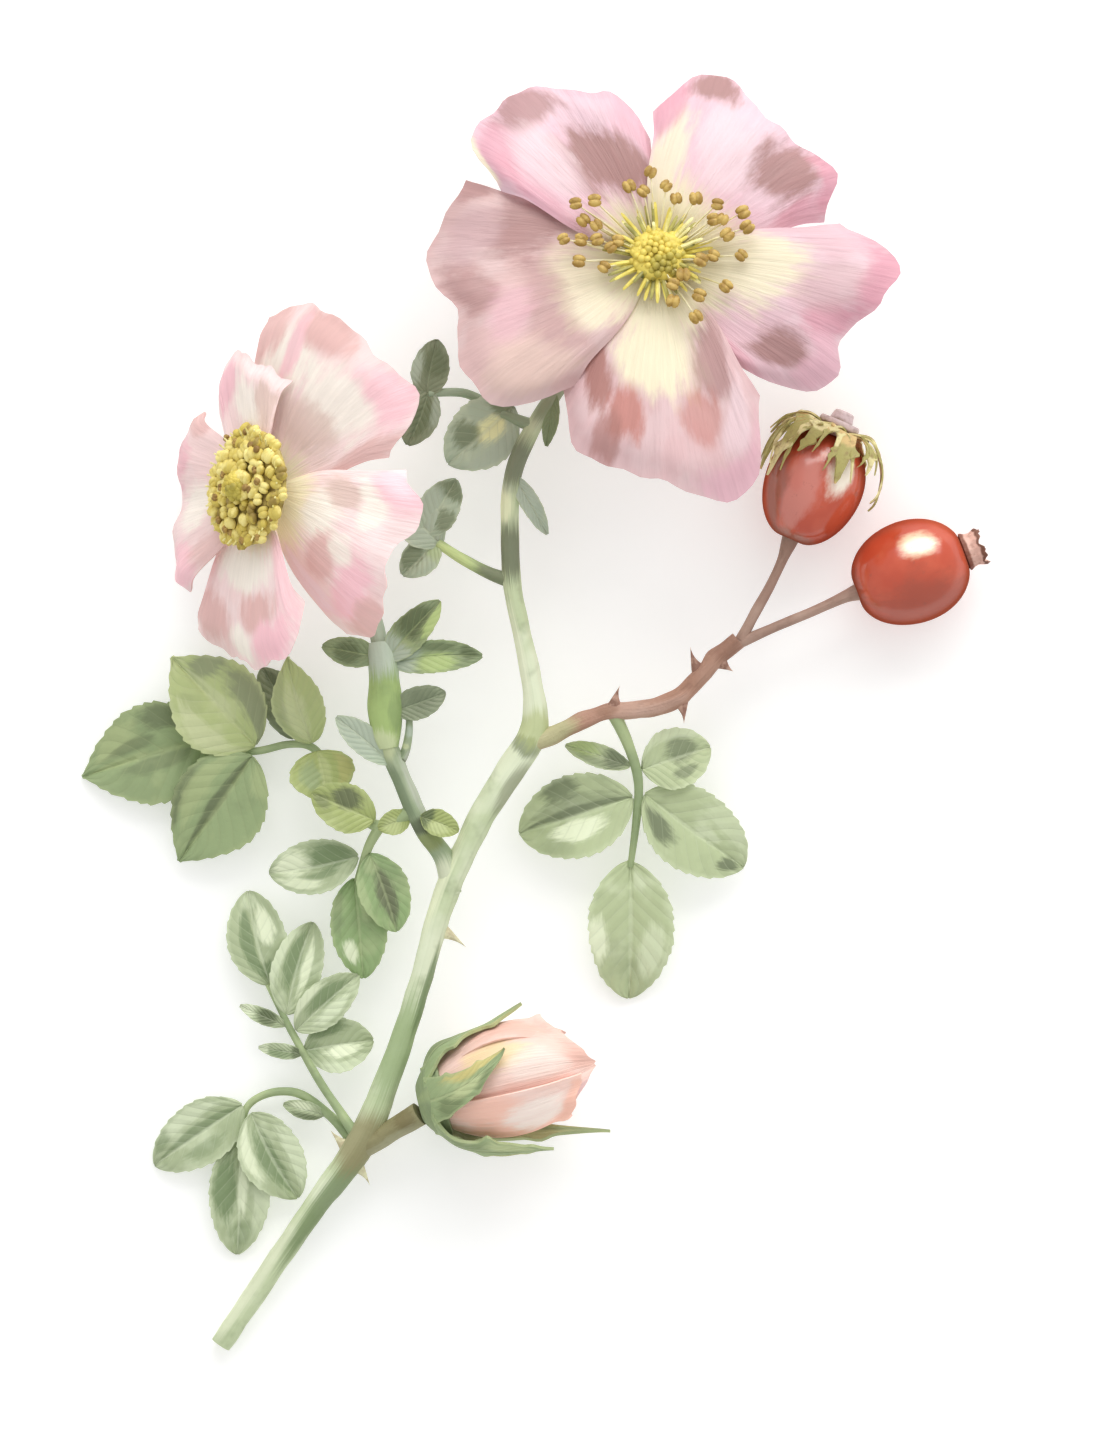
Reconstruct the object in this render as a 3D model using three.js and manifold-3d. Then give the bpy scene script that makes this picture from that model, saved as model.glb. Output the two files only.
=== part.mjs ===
// A cut sprig of dog rose, lying on a flat surface: two open flowers, a bud, two ripe hips and
// pinnate leaves on one prickly stem. Millimetres, +Z up. The origin is under the middle of the
// sprig, on the surface that it lies on, and the cut end points to -Y.
import * as THREE from 'three';
import { mergeVertices } from 'three/addons/utils/BufferGeometryUtils.js';
import Module from 'manifold-3d';

const wasm = await Module();
wasm.setup();

// ---------------------------------------------------------------- driving dimensions, mm
const GAP = 0.3; // between a piece and the piece that carries it
const WELD = 0.0001; // corners closer than this are one corner
const PETAL_THICKNESS = 0.5;
const LEAFLET_THICKNESS = 0.5;
const SEPAL_THICKNESS = 0.7;
const GROWN_BLADE_THICKNESS = 0.6; // of a leaflet that grew together with its stalk
const SEPAL_WIDTH = 4.4;
const SMALLEST_WIDTH = 0.7; // of a leaflet or sepal at its base and its tip
const LEAFLET_FOLD = 0.16; // rise of a leaflet's edge over half its width
const LEAFLET_ARCH = 0.06; // rise of a leaflet's middle over its length
const PETAL_CLAW = 3.2; // from the flower's axis to the base of a petal
const CALYX_DROP = 6.6; // from the petals' base down to the stalk
const SPRIG_OFFSET = [0, 1.2, 0]; // brings the middle of the sprig over the origin

const COLOURS = {
  greenStem: 0xb4c192,
  sideStem: 0xa9b98c,
  brownStem: 0xa07465,
  budStalk: 0x8c8468,
  rachis: 0x8ba06f,
  leaflet: 0x93a673,
  darkLeaflet: 0x5f7354,
  calyx: 0x86a06c,
  petal: 0xe6b9c3,
  palePetal: 0xf0cfcd,
  budPetal: 0xf3c0b0,
  stamens: 0xd9b64a,
  styles: 0xc9c24a,
  hip: 0xb8402f,
  driedCalyx: 0xa69a5a,
  calyxStub: 0xa98474,
};

// Each route lists centre-line points as x, y, z and the radius there.
const ROUTES = {
  mainStem: [
    [-40.5, -82.1, 1.5, 1.4],
    [-35.3, -74.4, 2.2, 1.45],
    [-28.8, -64.9, 3.4, 1.55],
    [-22.2, -55.6, 5.0, 1.95],
    [-17.9, -45.2, 6.4, 1.6],
    [-14.6, -35.2, 7.6, 1.45],
    [-11.7, -24.9, 8.6, 1.6],
    [-8.0, -16.2, 9.2, 1.65],
    [-3.9, -9.0, 9.7, 1.85],
    [-0.1, -3.2, 10.1, 1.9],
    [0.3, 1.1, 10.4, 1.5],
    [-0.8, 7.8, 10.6, 1.25],
    [-2.5, 15.8, 10.6, 1.2],
    [-2.9, 22.9, 10.6, 1.2],
    [-2.5, 30.6, 10.8, 1.2],
    [0.3, 37.1, 10.8, 1.05],
    [5.9, 45.3, 10.2, 1.0],
    [12.0, 51.8, 9.8, 1.0],
    [15.1, 55.4, 10.6, 1.0],
    [15.8, 56.3, 12.6, 1.0],
  ],
  sideStem: [
    [-10.4, -23.4, 8.6, 1.3],
    [-11.4, -18.9, 9.4, 1.35],
    [-13.6, -15.6, 10.2, 1.35],
    [-15.4, -12.1, 10.6, 1.3],
    [-16.8, -8.7, 10.8, 1.25],
    [-18.1, -5.5, 11.0, 1.2],
    [-19.0, -2.0, 11.2, 1.15],
    [-19.1, 3.9, 11.3, 1.15],
    [-19.6, 8.4, 10.9, 1.1],
    [-20.8, 13.2, 10.0, 1.05],
    [-22.6, 18.6, 9.3, 1.0],
    [-24.6, 23.6, 9.8, 1.0],
    [-26.8, 27.0, 12.1, 1.0],
    [-28.8, 28.0, 14.2, 1.0],
  ],
  hipBranch: [
    [0.2, -3.7, 10.2, 1.25],
    [3.6, -2.4, 10.2, 1.2],
    [6.8, -1.0, 10.0, 1.05],
    [10.4, 0.1, 9.6, 1.1],
    [14.9, 0.6, 9.3, 1.2],
    [19.1, 2.1, 9.0, 1.15],
    [21.7, 4.7, 8.8, 1.15],
    [24.0, 7.3, 8.6, 1.25],
    [26.6, 9.3, 8.5, 1.15],
  ],
  upperHipStalk: [
    [26.9, 9.3, 8.4, 0.75],
    [29.1, 13.4, 8.0, 0.65],
    [31.0, 16.8, 7.5, 0.62],
    [32.4, 19.9, 7.0, 0.68],
    [33.06, 21.78, 6.76, 1.0],
  ],
  lowerHipStalk: [
    [26.7, 9.0, 8.4, 0.75],
    [30.8, 10.8, 8.0, 0.65],
    [36.3, 13.1, 7.4, 0.65],
    [40.2, 14.9, 7.0, 0.75],
    [41.37, 15.32, 6.86, 1.0],
  ],
  budStalk: [
    [-22.2, -55.6, 5.0, 1.4],
    [-19.6, -53.8, 5.8, 1.4],
    [-17.1, -52.1, 6.8, 1.4],
    [-14.7, -50.9, 7.6, 1.55],
  ],
  leafARachis: [
    [10.4, 0.1, 9.6, 0.8],
    [12.3, -3.9, 8.3, 0.75],
    [13.7, -8.7, 6.8, 0.65],
    [13.5, -13.7, 5.4, 0.6],
    [12.7, -19.3, 4.1, 0.55],
  ],
  leafBRachis: [
    [-15.2, -12.5, 10.6, 0.95],
    [-19.7, -14.7, 9.0, 0.8],
    [-22.9, -12.4, 7.2, 0.7],
    [-25.9, -8.1, 5.6, 0.65],
    [-28.3, -4.7, 5.0, 0.6],
    [-31.4, -4.1, 4.6, 0.55],
    [-35.8, -5.0, 3.7, 0.55],
    [-40.7, -5.1, 2.4, 0.5],
  ],
  leafEPetiole: [
    [-19.7, -14.7, 9.0, 0.75],
    [-21.2, -17.4, 7.7, 0.6],
    [-22.6, -20.9, 6.0, 0.5],
  ],
  leafCRachis: [
    [-22.6, -55.1, 5.2, 0.7],
    [-25.1, -51.5, 4.9, 0.65],
    [-27.8, -47.4, 4.6, 0.6],
    [-31.2, -41.4, 4.2, 0.5],
    [-34.0, -36.1, 3.5, 0.45],
  ],
  leafDRachis: [
    [-23.0, -55.8, 4.2, 0.7],
    [-26.3, -52.3, 3.0, 0.65],
    [-30.2, -49.5, 2.4, 0.6],
    [-34.1, -49.4, 2.1, 0.55],
    [-37.1, -51.3, 1.9, 0.5],
    [-37.7, -54.8, 1.8, 0.45],
  ],
  upperLeafRachis: [
    [0.0, 37.0, 10.8, 0.8],
    [-3.9, 38.6, 9.6, 0.7],
    [-8.5, 41.2, 9.2, 0.6],
    [-12.4, 41.2, 9.2, 0.6],
  ],
  middleLeafPetiole: [
    [-2.6, 17.0, 10.6, 0.9],
    [-5.4, 17.9, 9.9, 0.8],
    [-9.3, 20.0, 9.3, 0.75],
    [-12.2, 21.9, 9.0, 0.7],
  ],
  bractSheath: [
    [-18.9, -3.4, 11.15, 1.8],
    [-19.0, 0.6, 11.25, 2.15],
    [-19.1, 4.4, 11.3, 1.9],
    [-19.3, 7.8, 10.9, 1.7],
  ],
};

// Each leaflet lists its base, its tip and its width.
const LEAFLETS = {
  leaf_a_terminal: [[12.6, -20.2, 4.1], [12.5, -37.1, 0.7], 10.9],
  leaf_a_left: [[12.4, -11.5, 6.1], [-1.4, -16.3, 2.8], 10.4],
  leaf_a_right: [[14.9, -11.3, 6.1], [27.1, -21.0, 2.8], 10.4],
  leaf_a_upper_right: [[14.6, -7.5, 7.0], [23.5, -5.4, 5.4], 7.6],
  leaf_a_upper_left: [[12.1, -6.8, 7.4], [4.5, -4.5, 6.6], 3.6],
  leaf_b_upper: [[-35.9, -3.9, 4.6], [-46.8, 7.2, 4.4], 12.0],
  leaf_b_terminal: [[-41.6, -5.2, 2.2], [-58.7, -9.4, 0.7], 13.6],
  leaf_b_lower: [[-36.0, -6.1, 4.8], [-45.0, -19.8, 2.2], 12.3],
  leaf_b_inner_upper: [[-28.6, -3.6, 6.2], [-31.7, 7.2, 7.5], 6.5],
  leaf_b_shaded: [[-30.9, -3.0, 4.6], [-35.1, 5.8, 2.4], 5.2],
  leaf_b_round: [[-27.9, -5.4, 6.6], [-26.6, -11.4, 8.6], 8.3],
  leaf_b_inner_lower: [[-20.6, -13.6, 10.2], [-28.4, -10.4, 10.2], 6.2],
  leaf_e_left: [[-23.2, -18.6, 7.4], [-34.1, -20.8, 5.6], 6.8],
  leaf_e_right: [[-20.6, -18.9, 7.9], [-17.5, -28.3, 7.0], 6.5],
  leaf_e_terminal: [[-22.8, -22.0, 5.8], [-20.5, -34.0, 4.2], 7.2],
  leaf_c_terminal: [[-34.4, -35.1, 3.4], [-37.5, -23.3, 1.6], 7.8],
  leaf_c_upper_right: [[-31.8, -38.7, 4.2], [-28.5, -27.2, 3.2], 6.5],
  leaf_c_right: [[-30.2, -40.9, 5.0], [-22.6, -34.0, 5.2], 5.5],
  leaf_c_lower_right: [[-28.7, -43.6, 4.3], [-20.7, -42.5, 3.2], 7.0],
  leaf_d_left: [[-38.1, -51.2, 2.2], [-48.8, -59.8, 0.9], 7.8],
  leaf_d_terminal: [[-37.8, -55.6, 1.8], [-37.5, -70.6, 0.7], 7.8],
  leaf_d_right: [[-36.2, -52.4, 3.4], [-30.5, -63.0, 2.2], 8.1],
};
const DARK_LEAFLETS = ['leaf_b_shaded', 'leaf_e_right', 'leaf_d_terminal'];

// Leaflets that grew together with the stalk of their leaf.
const LEAF_C_SMALL = [
  [[-32.4, -40.4, 4.2], [-37.9, -38.1, 3.4], 2.6],
  [[-30.0, -44.2, 4.5], [-35.5, -43.6, 3.8], 2.2],
];
const LEAF_D_STIPULE = [[-27.0, -51.4, 3.3], [-32.2, -51.6, 2.4], 2.4];
const UPPER_LEAF = [
  [[-3.9, 38.2, 9.7], [-11.9, 31.6, 9.6], 9.4],
  [[-12.2, 41.0, 9.2], [-11.2, 47.9, 9.4], 4.4],
  [[-12.2, 41.4, 9.2], [-14.5, 34.7, 8.6], 4.6],
];
const MIDDLE_LEAF = [
  [[-11.6, 21.4, 9.0], [-9.3, 30.0, 9.6], 5.0],
  [[-11.8, 21.6, 9.0], [-17.4, 27.7, 9.0], 5.6],
  [[-11.6, 21.8, 9.0], [-15.6, 17.5, 8.4], 4.8],
];
const BRACTS = [
  [[-19.8, 7.2, 11.0], [-27.1, 8.6, 11.0], 4.0],
  [[-19.0, 6.6, 11.2], [-11.9, 14.4, 12.0], 4.4],
  [[-18.6, 6.4, 11.0], [-6.5, 7.3, 10.6], 4.4],
  [[-18.6, -2.6, 11.2], [-11.4, 2.4, 11.0], 4.4],
  [[-19.4, -2.4, 11.2], [-24.6, -0.8, 11.6], 4.2],
];
const NODE_STIPULES = [
  [[-16.4, -13.4, 10.4], [-19.9, -15.6, 10.4], 2.4],
  [[-14.6, -15.2, 12.2], [-9.4, -15.6, 12.2], 2.6],
];

// Each prickle lists its place along the stem from 0 to 1, its turn round it in degrees from the
// left-hand side, its length and its lean towards the stem's tip in degrees.
const PRICKLES = {
  mainStem: [
    [0.145, 180, 4.2, -35],
    [0.15, 0, 4.0, 10],
    [0.3, 180, 3.0, -20],
    [0.7, 180, 4.6, -48],
    [0.83, 185, 6.5, -62],
  ],
  hipBranch: [
    [0.38, 20, 2.8, 25],
    [0.62, 170, 2.8, -25],
    [0.76, 10, 3.0, 30],
    [0.86, 185, 2.2, 10],
  ],
};

// A flower stands on its centre, with its axis pointing out of it. Each petal lists its turn and
// half spread in degrees, its edge's distances from the centre, from right to left, its slope
// at the base and at the tip in degrees, its tilt to its left in degrees and its step outwards.
const LARGE_FLOWER = {
  name: 'large_flower',
  centre: [16.0, 57.8, 19.4],
  axis: [0.02, 0.22, 0.975],
  colour: COLOURS.petal,
  petals: {
    right: [-22, 34, [16, 23.5, 27.8, 26.2, 28.8, 29.5, 22.5], 16, -14, 5, 0],
    upper_right: [54, 37, [21.5, 25.8, 24.2, 24, 26.8, 24.6, 18], 14, -22, 5, 0],
    upper_left: [124, 30, [17, 23.5, 25.2, 30, 29.8, 29.2, 20.5], 14, -22, 5, 0],
    left: [195, 38, [25.5, 27.5, 29.4, 27.3, 29.2, 28, 20], 14, -16, 5, 0],
    bottom: [271, 34, [22.5, 27, 28.2, 29, 32.4, 31.4, 22], 14, -12, 5, 0],
  },
  stamenCount: 17,
  stamenReach: [5.5, 11.5],
  sepalTurn: 24,
  sepalPath: [[1, -1.5], [4, -1.4], [9, -2.2], [15, -4.6]],
};
const SIDE_FLOWER = {
  name: 'side_flower',
  centre: [-34.1, 28.6, 18.5],
  axis: [-0.78, 0.08, 0.62],
  colour: COLOURS.palePetal,
  petals: {
    top_right: [60, 44, [16.5, 22.4, 23.5, 23.2, 25, 25.4, 25.8], -6, -30, 15, 0],
    upper_left: [104, 26, [14.5, 15.6, 16.6, 18.4, 20.2, 18.6, 12], 12, -12, 3, 1.2],
    left: [180, 37, [18.2, 17.8, 18, 17.8, 19.2, 19.5, 18.2], 16, -8, 3, 0],
    bottom: [265, 35, [24.4, 24, 22.8, 23, 22.8, 22, 16], 6, -16, 3, 0.6],
    lower_right: [330, 38, [21.5, 23, 22.3, 20.3, 20, 21.3, 19], -10, -42, 3, 0],
  },
  stamenCount: 17,
  stamenReach: [3.5, 7.5],
  sepalTurn: 0,
  sepalPath: [[1, -1.8], [3.6, -3.0], [6.2, -6.4], [8.6, -11.4]],
};

const BUD = {
  base: [-14.2, -50.5, 7.9],
  axis: [0.974, 0.228, 0.0],
  // distance along the axis and radius
  outline: [[2, 4.2], [5, 6.1], [9, 7.4], [13, 7.7], [17, 7.0], [20.5, 4.9], [22.6, 2.2]],
  sepalTurn: 118, // of the first sepal; the others follow at fifths of a turn
  sepalLengths: [14, 11, 15, 23, 14],
};

const UPPER_HIP = {
  name: 'upper_hip',
  base: [33.2, 22.1, 6.75],
  axis: [0.4, 0.916, 0.0],
  length: 15.2,
  radius: 6.5,
};
const LOWER_HIP = {
  name: 'lower_hip',
  base: [41.7, 15.45, 6.85],
  axis: [0.937, 0.349, 0.0],
  length: 15.4,
  radius: 6.7,
};

// ---------------------------------------------------------------- geometry helpers
function welded(geometry) {
  const bare = new THREE.BufferGeometry();
  bare.setAttribute('position', geometry.getAttribute('position').clone());
  bare.setIndex(geometry.getIndex());
  const merged = mergeVertices(bare, WELD);
  const corners = merged.getIndex().array;
  const kept = [];
  for (let i = 0; i < corners.length; i += 3) {
    const [a, b, c] = corners.slice(i, i + 3);
    // a triangle on the axis of a turned shape has two corners in one place
    if (a !== b && b !== c && c !== a) kept.push(a, b, c);
  }
  merged.setIndex(kept);
  return merged;
}

function toSolid(geometry) {
  const surface = welded(geometry);
  return new wasm.Manifold(new wasm.Mesh({
    numProp: 3,
    vertProperties: new Float32Array(surface.getAttribute('position').array),
    triVerts: new Uint32Array(surface.getIndex().array),
  }));
}

function toGeometry(solid) {
  const mesh = solid.getMesh();
  const geometry = new THREE.BufferGeometry();
  geometry.setAttribute('position', new THREE.BufferAttribute(mesh.vertProperties, 3));
  geometry.setIndex(new THREE.BufferAttribute(mesh.triVerts, 1));
  return geometry;
}

function joined(geometries) {
  const solids = geometries.map(toSolid);
  return toGeometry(solids.reduce((whole, solid) => whole.add(solid)));
}

// The geometry without the room that a stem and the gap round it take up.
function clearOf(geometry, route) {
  const room = route.map(([x, y, z, radius]) => [x, y, z, radius + GAP]);
  const bodies = toSolid(geometry).subtract(toSolid(rod(room, 8))).decompose();
  bodies.sort((a, b) => b.volume() - a.volume());
  return toGeometry(bodies[0]);
}

function reshaped(geometry, place) {
  const position = geometry.getAttribute('position');
  const corner = new THREE.Vector3();
  for (let i = 0; i < position.count; i += 1) {
    corner.fromBufferAttribute(position, i);
    const [x, y, z] = place(corner.x, corner.y, corner.z);
    position.setXYZ(i, x, y, z);
  }
  return geometry;
}

function curveThrough(points) {
  const places = points.map(([x, y, z]) => new THREE.Vector3(x, y, z));
  return new THREE.CatmullRomCurve3(places, false, 'centripetal');
}

function lerpAlong(values, along) {
  const scaled = along * (values.length - 1);
  const index = Math.min(Math.floor(scaled), values.length - 2);
  return THREE.MathUtils.lerp(values[index], values[index + 1], scaled - index);
}

// Centre, side and upper directions at even steps along a curve, without twist.
function framesAlong(curve, steps) {
  const frames = [];
  const side = new THREE.Vector3(0, 0, 1).cross(curve.getTangent(0)).normalize();
  for (let i = 0; i <= steps; i += 1) {
    const along = i / steps;
    const tangent = curve.getTangent(along);
    side.addScaledVector(tangent, -side.dot(tangent)).normalize();
    const upper = new THREE.Vector3().crossVectors(tangent, side);
    frames.push({ centre: curve.getPoint(along), tangent, side: side.clone(), upper });
  }
  return frames;
}

// A round stem along a route, closed at both ends.
function rod(route, sides, stepsPerPoint = 2) {
  const steps = (route.length - 1) * stepsPerPoint;
  const frames = framesAlong(curveThrough(route), steps);
  const radii = route.map((point) => point[3]);
  return reshaped(new THREE.CylinderGeometry(1, 1, 1, sides, steps), (x, y, z) => {
    const along = THREE.MathUtils.clamp(y + 0.5, 0, 1);
    const { centre, side, upper } = frames[Math.round(along * steps)];
    const radius = lerpAlong(radii, along);
    return centre.clone()
      .addScaledVector(side, x * radius)
      .addScaledVector(upper, -z * radius)
      .toArray();
  });
}

function prickle(route, [along, turn, length, lean]) {
  const curve = curveThrough(route);
  const steps = 100;
  const { centre, tangent, side } = framesAlong(curve, steps)[Math.round(along * steps)];
  const radius = lerpAlong(route.map((point) => point[3]), along);
  const outwards = side.clone().applyAxisAngle(tangent, THREE.MathUtils.degToRad(turn));
  const across = new THREE.Vector3().crossVectors(outwards, tangent);
  const leaning = outwards.clone().applyAxisAngle(across, THREE.MathUtils.degToRad(lean));
  const root = radius * 0.5; // the cone starts halfway from the middle of the stem
  const height = length + radius - root;
  const cone = new THREE.ConeGeometry(radius * 0.62, height, 5);
  cone.translate(0, height / 2, 0);
  const coneAxis = new THREE.Vector3(0, 1, 0);
  cone.applyQuaternion(new THREE.Quaternion().setFromUnitVectors(coneAxis, leaning));
  cone.translate(...centre.clone().addScaledVector(outwards, root).toArray());
  return cone;
}

// The outline of a leaflet: no width at the base and the tip, broadest near the middle.
function leafWidth(along, width) {
  const swell = Math.sin(Math.PI * along ** 0.82) ** 0.72;
  return Math.max(width * swell, SMALLEST_WIDTH);
}

// A folded, arched leaflet from the origin along +X.
function leaflet(length, width, thickness = LEAFLET_THICKNESS) {
  return reshaped(new THREE.BoxGeometry(1, 1, 1, 6, 2, 1), (x, y, z) => {
    const along = THREE.MathUtils.clamp(x + 0.5, 0, 1);
    const half = leafWidth(along, width) / 2;
    const arch = LEAFLET_ARCH * length * 4 * along * (1 - along);
    const fold = LEAFLET_FOLD * Math.abs(y * 2) * half;
    return [along * length, y * 2 * half, arch + fold + z * thickness];
  });
}

// Turns +X from the base to the tip, with +Z as far up as it goes.
function leafTurn(base, tip) {
  const along = new THREE.Vector3(...tip).sub(new THREE.Vector3(...base)).normalize();
  const across = new THREE.Vector3(0, 0, 1).cross(along).normalize();
  const above = new THREE.Vector3().crossVectors(along, across);
  return new THREE.Matrix4().makeBasis(along, across, above);
}

function distance(from, to) {
  return new THREE.Vector3(...from).distanceTo(new THREE.Vector3(...to));
}

function placedLeaflet([base, tip, width]) {
  const geometry = leaflet(distance(base, tip), width, GROWN_BLADE_THICKNESS);
  return geometry.applyMatrix4(leafTurn(base, tip).setPosition(...base));
}

// A petal from the flower's centre along +X, cupped at its base and bent back at its tip.
function petal([, spread, edge, baseSlope, tipSlope, tilt, step]) {
  const reach = Math.max(...edge);
  const start = THREE.MathUtils.degToRad(baseSlope);
  const bend = THREE.MathUtils.degToRad(tipSlope - baseSlope) / reach;
  const sideways = Math.tan(THREE.MathUtils.degToRad(tilt));
  const columns = edge.length - 1;
  return reshaped(new THREE.BoxGeometry(1, 1, 1, 5, columns, 1), (x, y, z) => {
    const along = THREE.MathUtils.clamp(x + 0.5, 0, 1);
    const station = Math.round((y + 0.5) * columns);
    const travelled = THREE.MathUtils.lerp(PETAL_CLAW, edge[station], along);
    const narrowing = 0.74 + 0.26 * Math.min(1, along * 1.7);
    const turn = THREE.MathUtils.degToRad(spread * 2 * y * narrowing);
    const out = (Math.sin(start + bend * travelled) - Math.sin(start)) / bend;
    const rise = (Math.cos(start) - Math.cos(start + bend * travelled)) / bend;
    const across = out * Math.sin(turn);
    const height = step + rise + across * sideways + z * PETAL_THICKNESS;
    return [out * Math.cos(turn), across, height];
  });
}

// A tapering strip that follows a path in the XZ plane, as wide as the width across Y.
function strip(path, width, steps = 5) {
  const points = path.map(([out, up]) => [out, 0, up]);
  const frames = framesAlong(curveThrough(points), steps);
  return reshaped(new THREE.BoxGeometry(1, 1, 1, steps, 1, 1), (x, y, z) => {
    const along = THREE.MathUtils.clamp(x + 0.5, 0, 1);
    const { centre, tangent } = frames[Math.round(along * steps)];
    const taper = Math.max(width * (1 - along) ** 0.7, SMALLEST_WIDTH);
    const above = new THREE.Vector3(-tangent.z, 0, tangent.x);
    return centre.clone()
      .addScaledVector(above, z * SEPAL_THICKNESS)
      .setY(y * taper)
      .toArray();
  });
}

function turned(profile, sides) {
  const points = profile.map(([radius, height]) => new THREE.Vector2(radius, height));
  return new THREE.LatheGeometry(points, sides).rotateX(Math.PI / 2);
}

// ---------------------------------------------------------------- sub-parts
function piece(name, geometry, colour, roughness = 0.6) {
  const material = new THREE.MeshStandardMaterial({ color: colour, roughness, metalness: 0 });
  const mesh = new THREE.Mesh(geometry, material);
  mesh.name = name;
  return mesh;
}

function standing(origin, axis) {
  const group = new THREE.Group();
  group.position.set(...origin);
  const direction = new THREE.Vector3(...axis).normalize();
  group.quaternion.setFromUnitVectors(new THREE.Vector3(0, 0, 1), direction);
  return group;
}

function stems() {
  const withPrickles = (route, prickles, sides) => {
    const spikes = prickles.map((item) => prickle(route, item));
    return joined([rod(route, sides), ...spikes]);
  };
  const sideStem = clearOf(rod(ROUTES.sideStem, 7), ROUTES.mainStem);
  const hipBranch = clearOf(withPrickles(ROUTES.hipBranch, PRICKLES.hipBranch, 7), ROUTES.mainStem);
  const upperStalk = clearOf(rod(ROUTES.upperHipStalk, 6), ROUTES.hipBranch);
  const wholeLowerStalk = clearOf(rod(ROUTES.lowerHipStalk, 6), ROUTES.hipBranch);
  const lowerStalk = clearOf(wholeLowerStalk, ROUTES.upperHipStalk);
  return [
    piece('main_stem', withPrickles(ROUTES.mainStem, PRICKLES.mainStem, 9), COLOURS.greenStem),
    piece('side_stem', sideStem, COLOURS.sideStem),
    piece('hip_branch', hipBranch, COLOURS.brownStem, 0.8),
    piece('upper_hip_stalk', upperStalk, COLOURS.brownStem, 0.8),
    piece('lower_hip_stalk', lowerStalk, COLOURS.brownStem, 0.8),
    piece('bud_stalk', clearOf(rod(ROUTES.budStalk, 8), ROUTES.mainStem), COLOURS.budStalk, 0.7),
  ];
}

function leafStalks() {
  const leafB = joined([
    rod(ROUTES.leafBRachis, 5),
    rod(ROUTES.leafEPetiole, 5),
    ...NODE_STIPULES.map(placedLeaflet),
  ]);
  const leafC = joined([rod(ROUTES.leafCRachis, 5), ...LEAF_C_SMALL.map(placedLeaflet)]);
  const leafD = joined([rod(ROUTES.leafDRachis, 5), placedLeaflet(LEAF_D_STIPULE)]);
  return [
    piece('leaf_a_stalk', clearOf(rod(ROUTES.leafARachis, 5), ROUTES.hipBranch), COLOURS.rachis),
    piece('leaf_b_stalk', clearOf(leafB, ROUTES.sideStem), COLOURS.rachis),
    piece('leaf_c_stalk', clearOf(leafC, ROUTES.mainStem), COLOURS.rachis),
    piece('leaf_d_stalk', clearOf(leafD, ROUTES.mainStem), COLOURS.rachis),
  ];
}

function leaflets() {
  return Object.entries(LEAFLETS).map(([name, [base, tip, width]]) => {
    const colour = DARK_LEAFLETS.includes(name) ? COLOURS.darkLeaflet : COLOURS.leaflet;
    const mesh = piece(name, leaflet(distance(base, tip), width), colour);
    mesh.position.set(...base);
    mesh.quaternion.setFromRotationMatrix(leafTurn(base, tip));
    return mesh;
  });
}

function wholeLeaves() {
  const upper = joined([rod(ROUTES.upperLeafRachis, 5), ...UPPER_LEAF.map(placedLeaflet)]);
  const middle = joined([rod(ROUTES.middleLeafPetiole, 5), ...MIDDLE_LEAF.map(placedLeaflet)]);
  const bracts = joined([rod(ROUTES.bractSheath, 7), ...BRACTS.map(placedLeaflet)]);
  return [
    piece('upper_leaf', clearOf(upper, ROUTES.mainStem), COLOURS.darkLeaflet),
    piece('middle_leaf', clearOf(middle, ROUTES.mainStem), COLOURS.darkLeaflet),
    piece('bracts', clearOf(bracts, ROUTES.sideStem), COLOURS.calyx),
  ];
}

// The swelling under the petals with its five sepals spread below them.
function openCalyx(sepalTurn, sepalPath) {
  const urn = turned([[0, -CALYX_DROP], [1.5, -6.2], [2.6, -4.4], [2.7, -2.6], [2.2, -1.2],
    [2.4, -0.9], [0, -0.9]], 10);
  const sepals = [0, 1, 2, 3, 4].map((index) => {
    const turn = THREE.MathUtils.degToRad(sepalTurn + index * 72);
    return strip(sepalPath, SEPAL_WIDTH).rotateZ(turn);
  });
  return joined([urn, ...sepals]);
}

// A ring of filaments, each with its anther, round a low collar.
function stamenRing(count, [innerReach, outerReach]) {
  const collar = turned([[1.5, 1.3], [2.3, 1.3], [2.3, 2.3], [1.5, 2.3], [1.5, 1.3]], 12);
  const filaments = [];
  const anthers = [];
  for (let index = 0; index < count; index += 1) {
    const row = (index * 7) % 5 / 4;
    const reach = THREE.MathUtils.lerp(innerReach, outerReach, row);
    const rise = THREE.MathUtils.lerp(6.2, 4.6, row);
    const turn = (index / count) * Math.PI * 2;
    const route = [[1.9, 0, 1.8, 0.3], [reach * 0.55, 0, rise * 0.62, 0.25], [reach, 0, rise, 0.25]];
    filaments.push(rod(route, 3, 1).rotateZ(turn));
    const anther = new THREE.OctahedronGeometry(0.85);
    anthers.push(anther.translate(reach, 0, rise).rotateZ(turn));
  }
  return joined([collar, ...filaments, ...anthers]);
}

function flower(model) {
  const group = standing(model.centre, model.axis);
  for (const [side, shape] of Object.entries(model.petals)) {
    const mesh = piece(`${model.name}_petal_${side}`, petal(shape), model.colour, 0.55);
    mesh.rotation.z = THREE.MathUtils.degToRad(shape[0]);
    group.add(mesh);
  }
  const styles = turned([[0, -0.3], [1.1, -0.3], [1.1, 3.2], [1.9, 3.9], [1.7, 4.7], [0, 5.1]], 9);
  group.add(
    piece(`${model.name}_calyx`, openCalyx(model.sepalTurn, model.sepalPath), COLOURS.calyx),
    piece(`${model.name}_stamens`, stamenRing(model.stamenCount, model.stamenReach), COLOURS.stamens),
    piece(`${model.name}_styles`, styles, COLOURS.styles),
  );
  return group;
}

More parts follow.
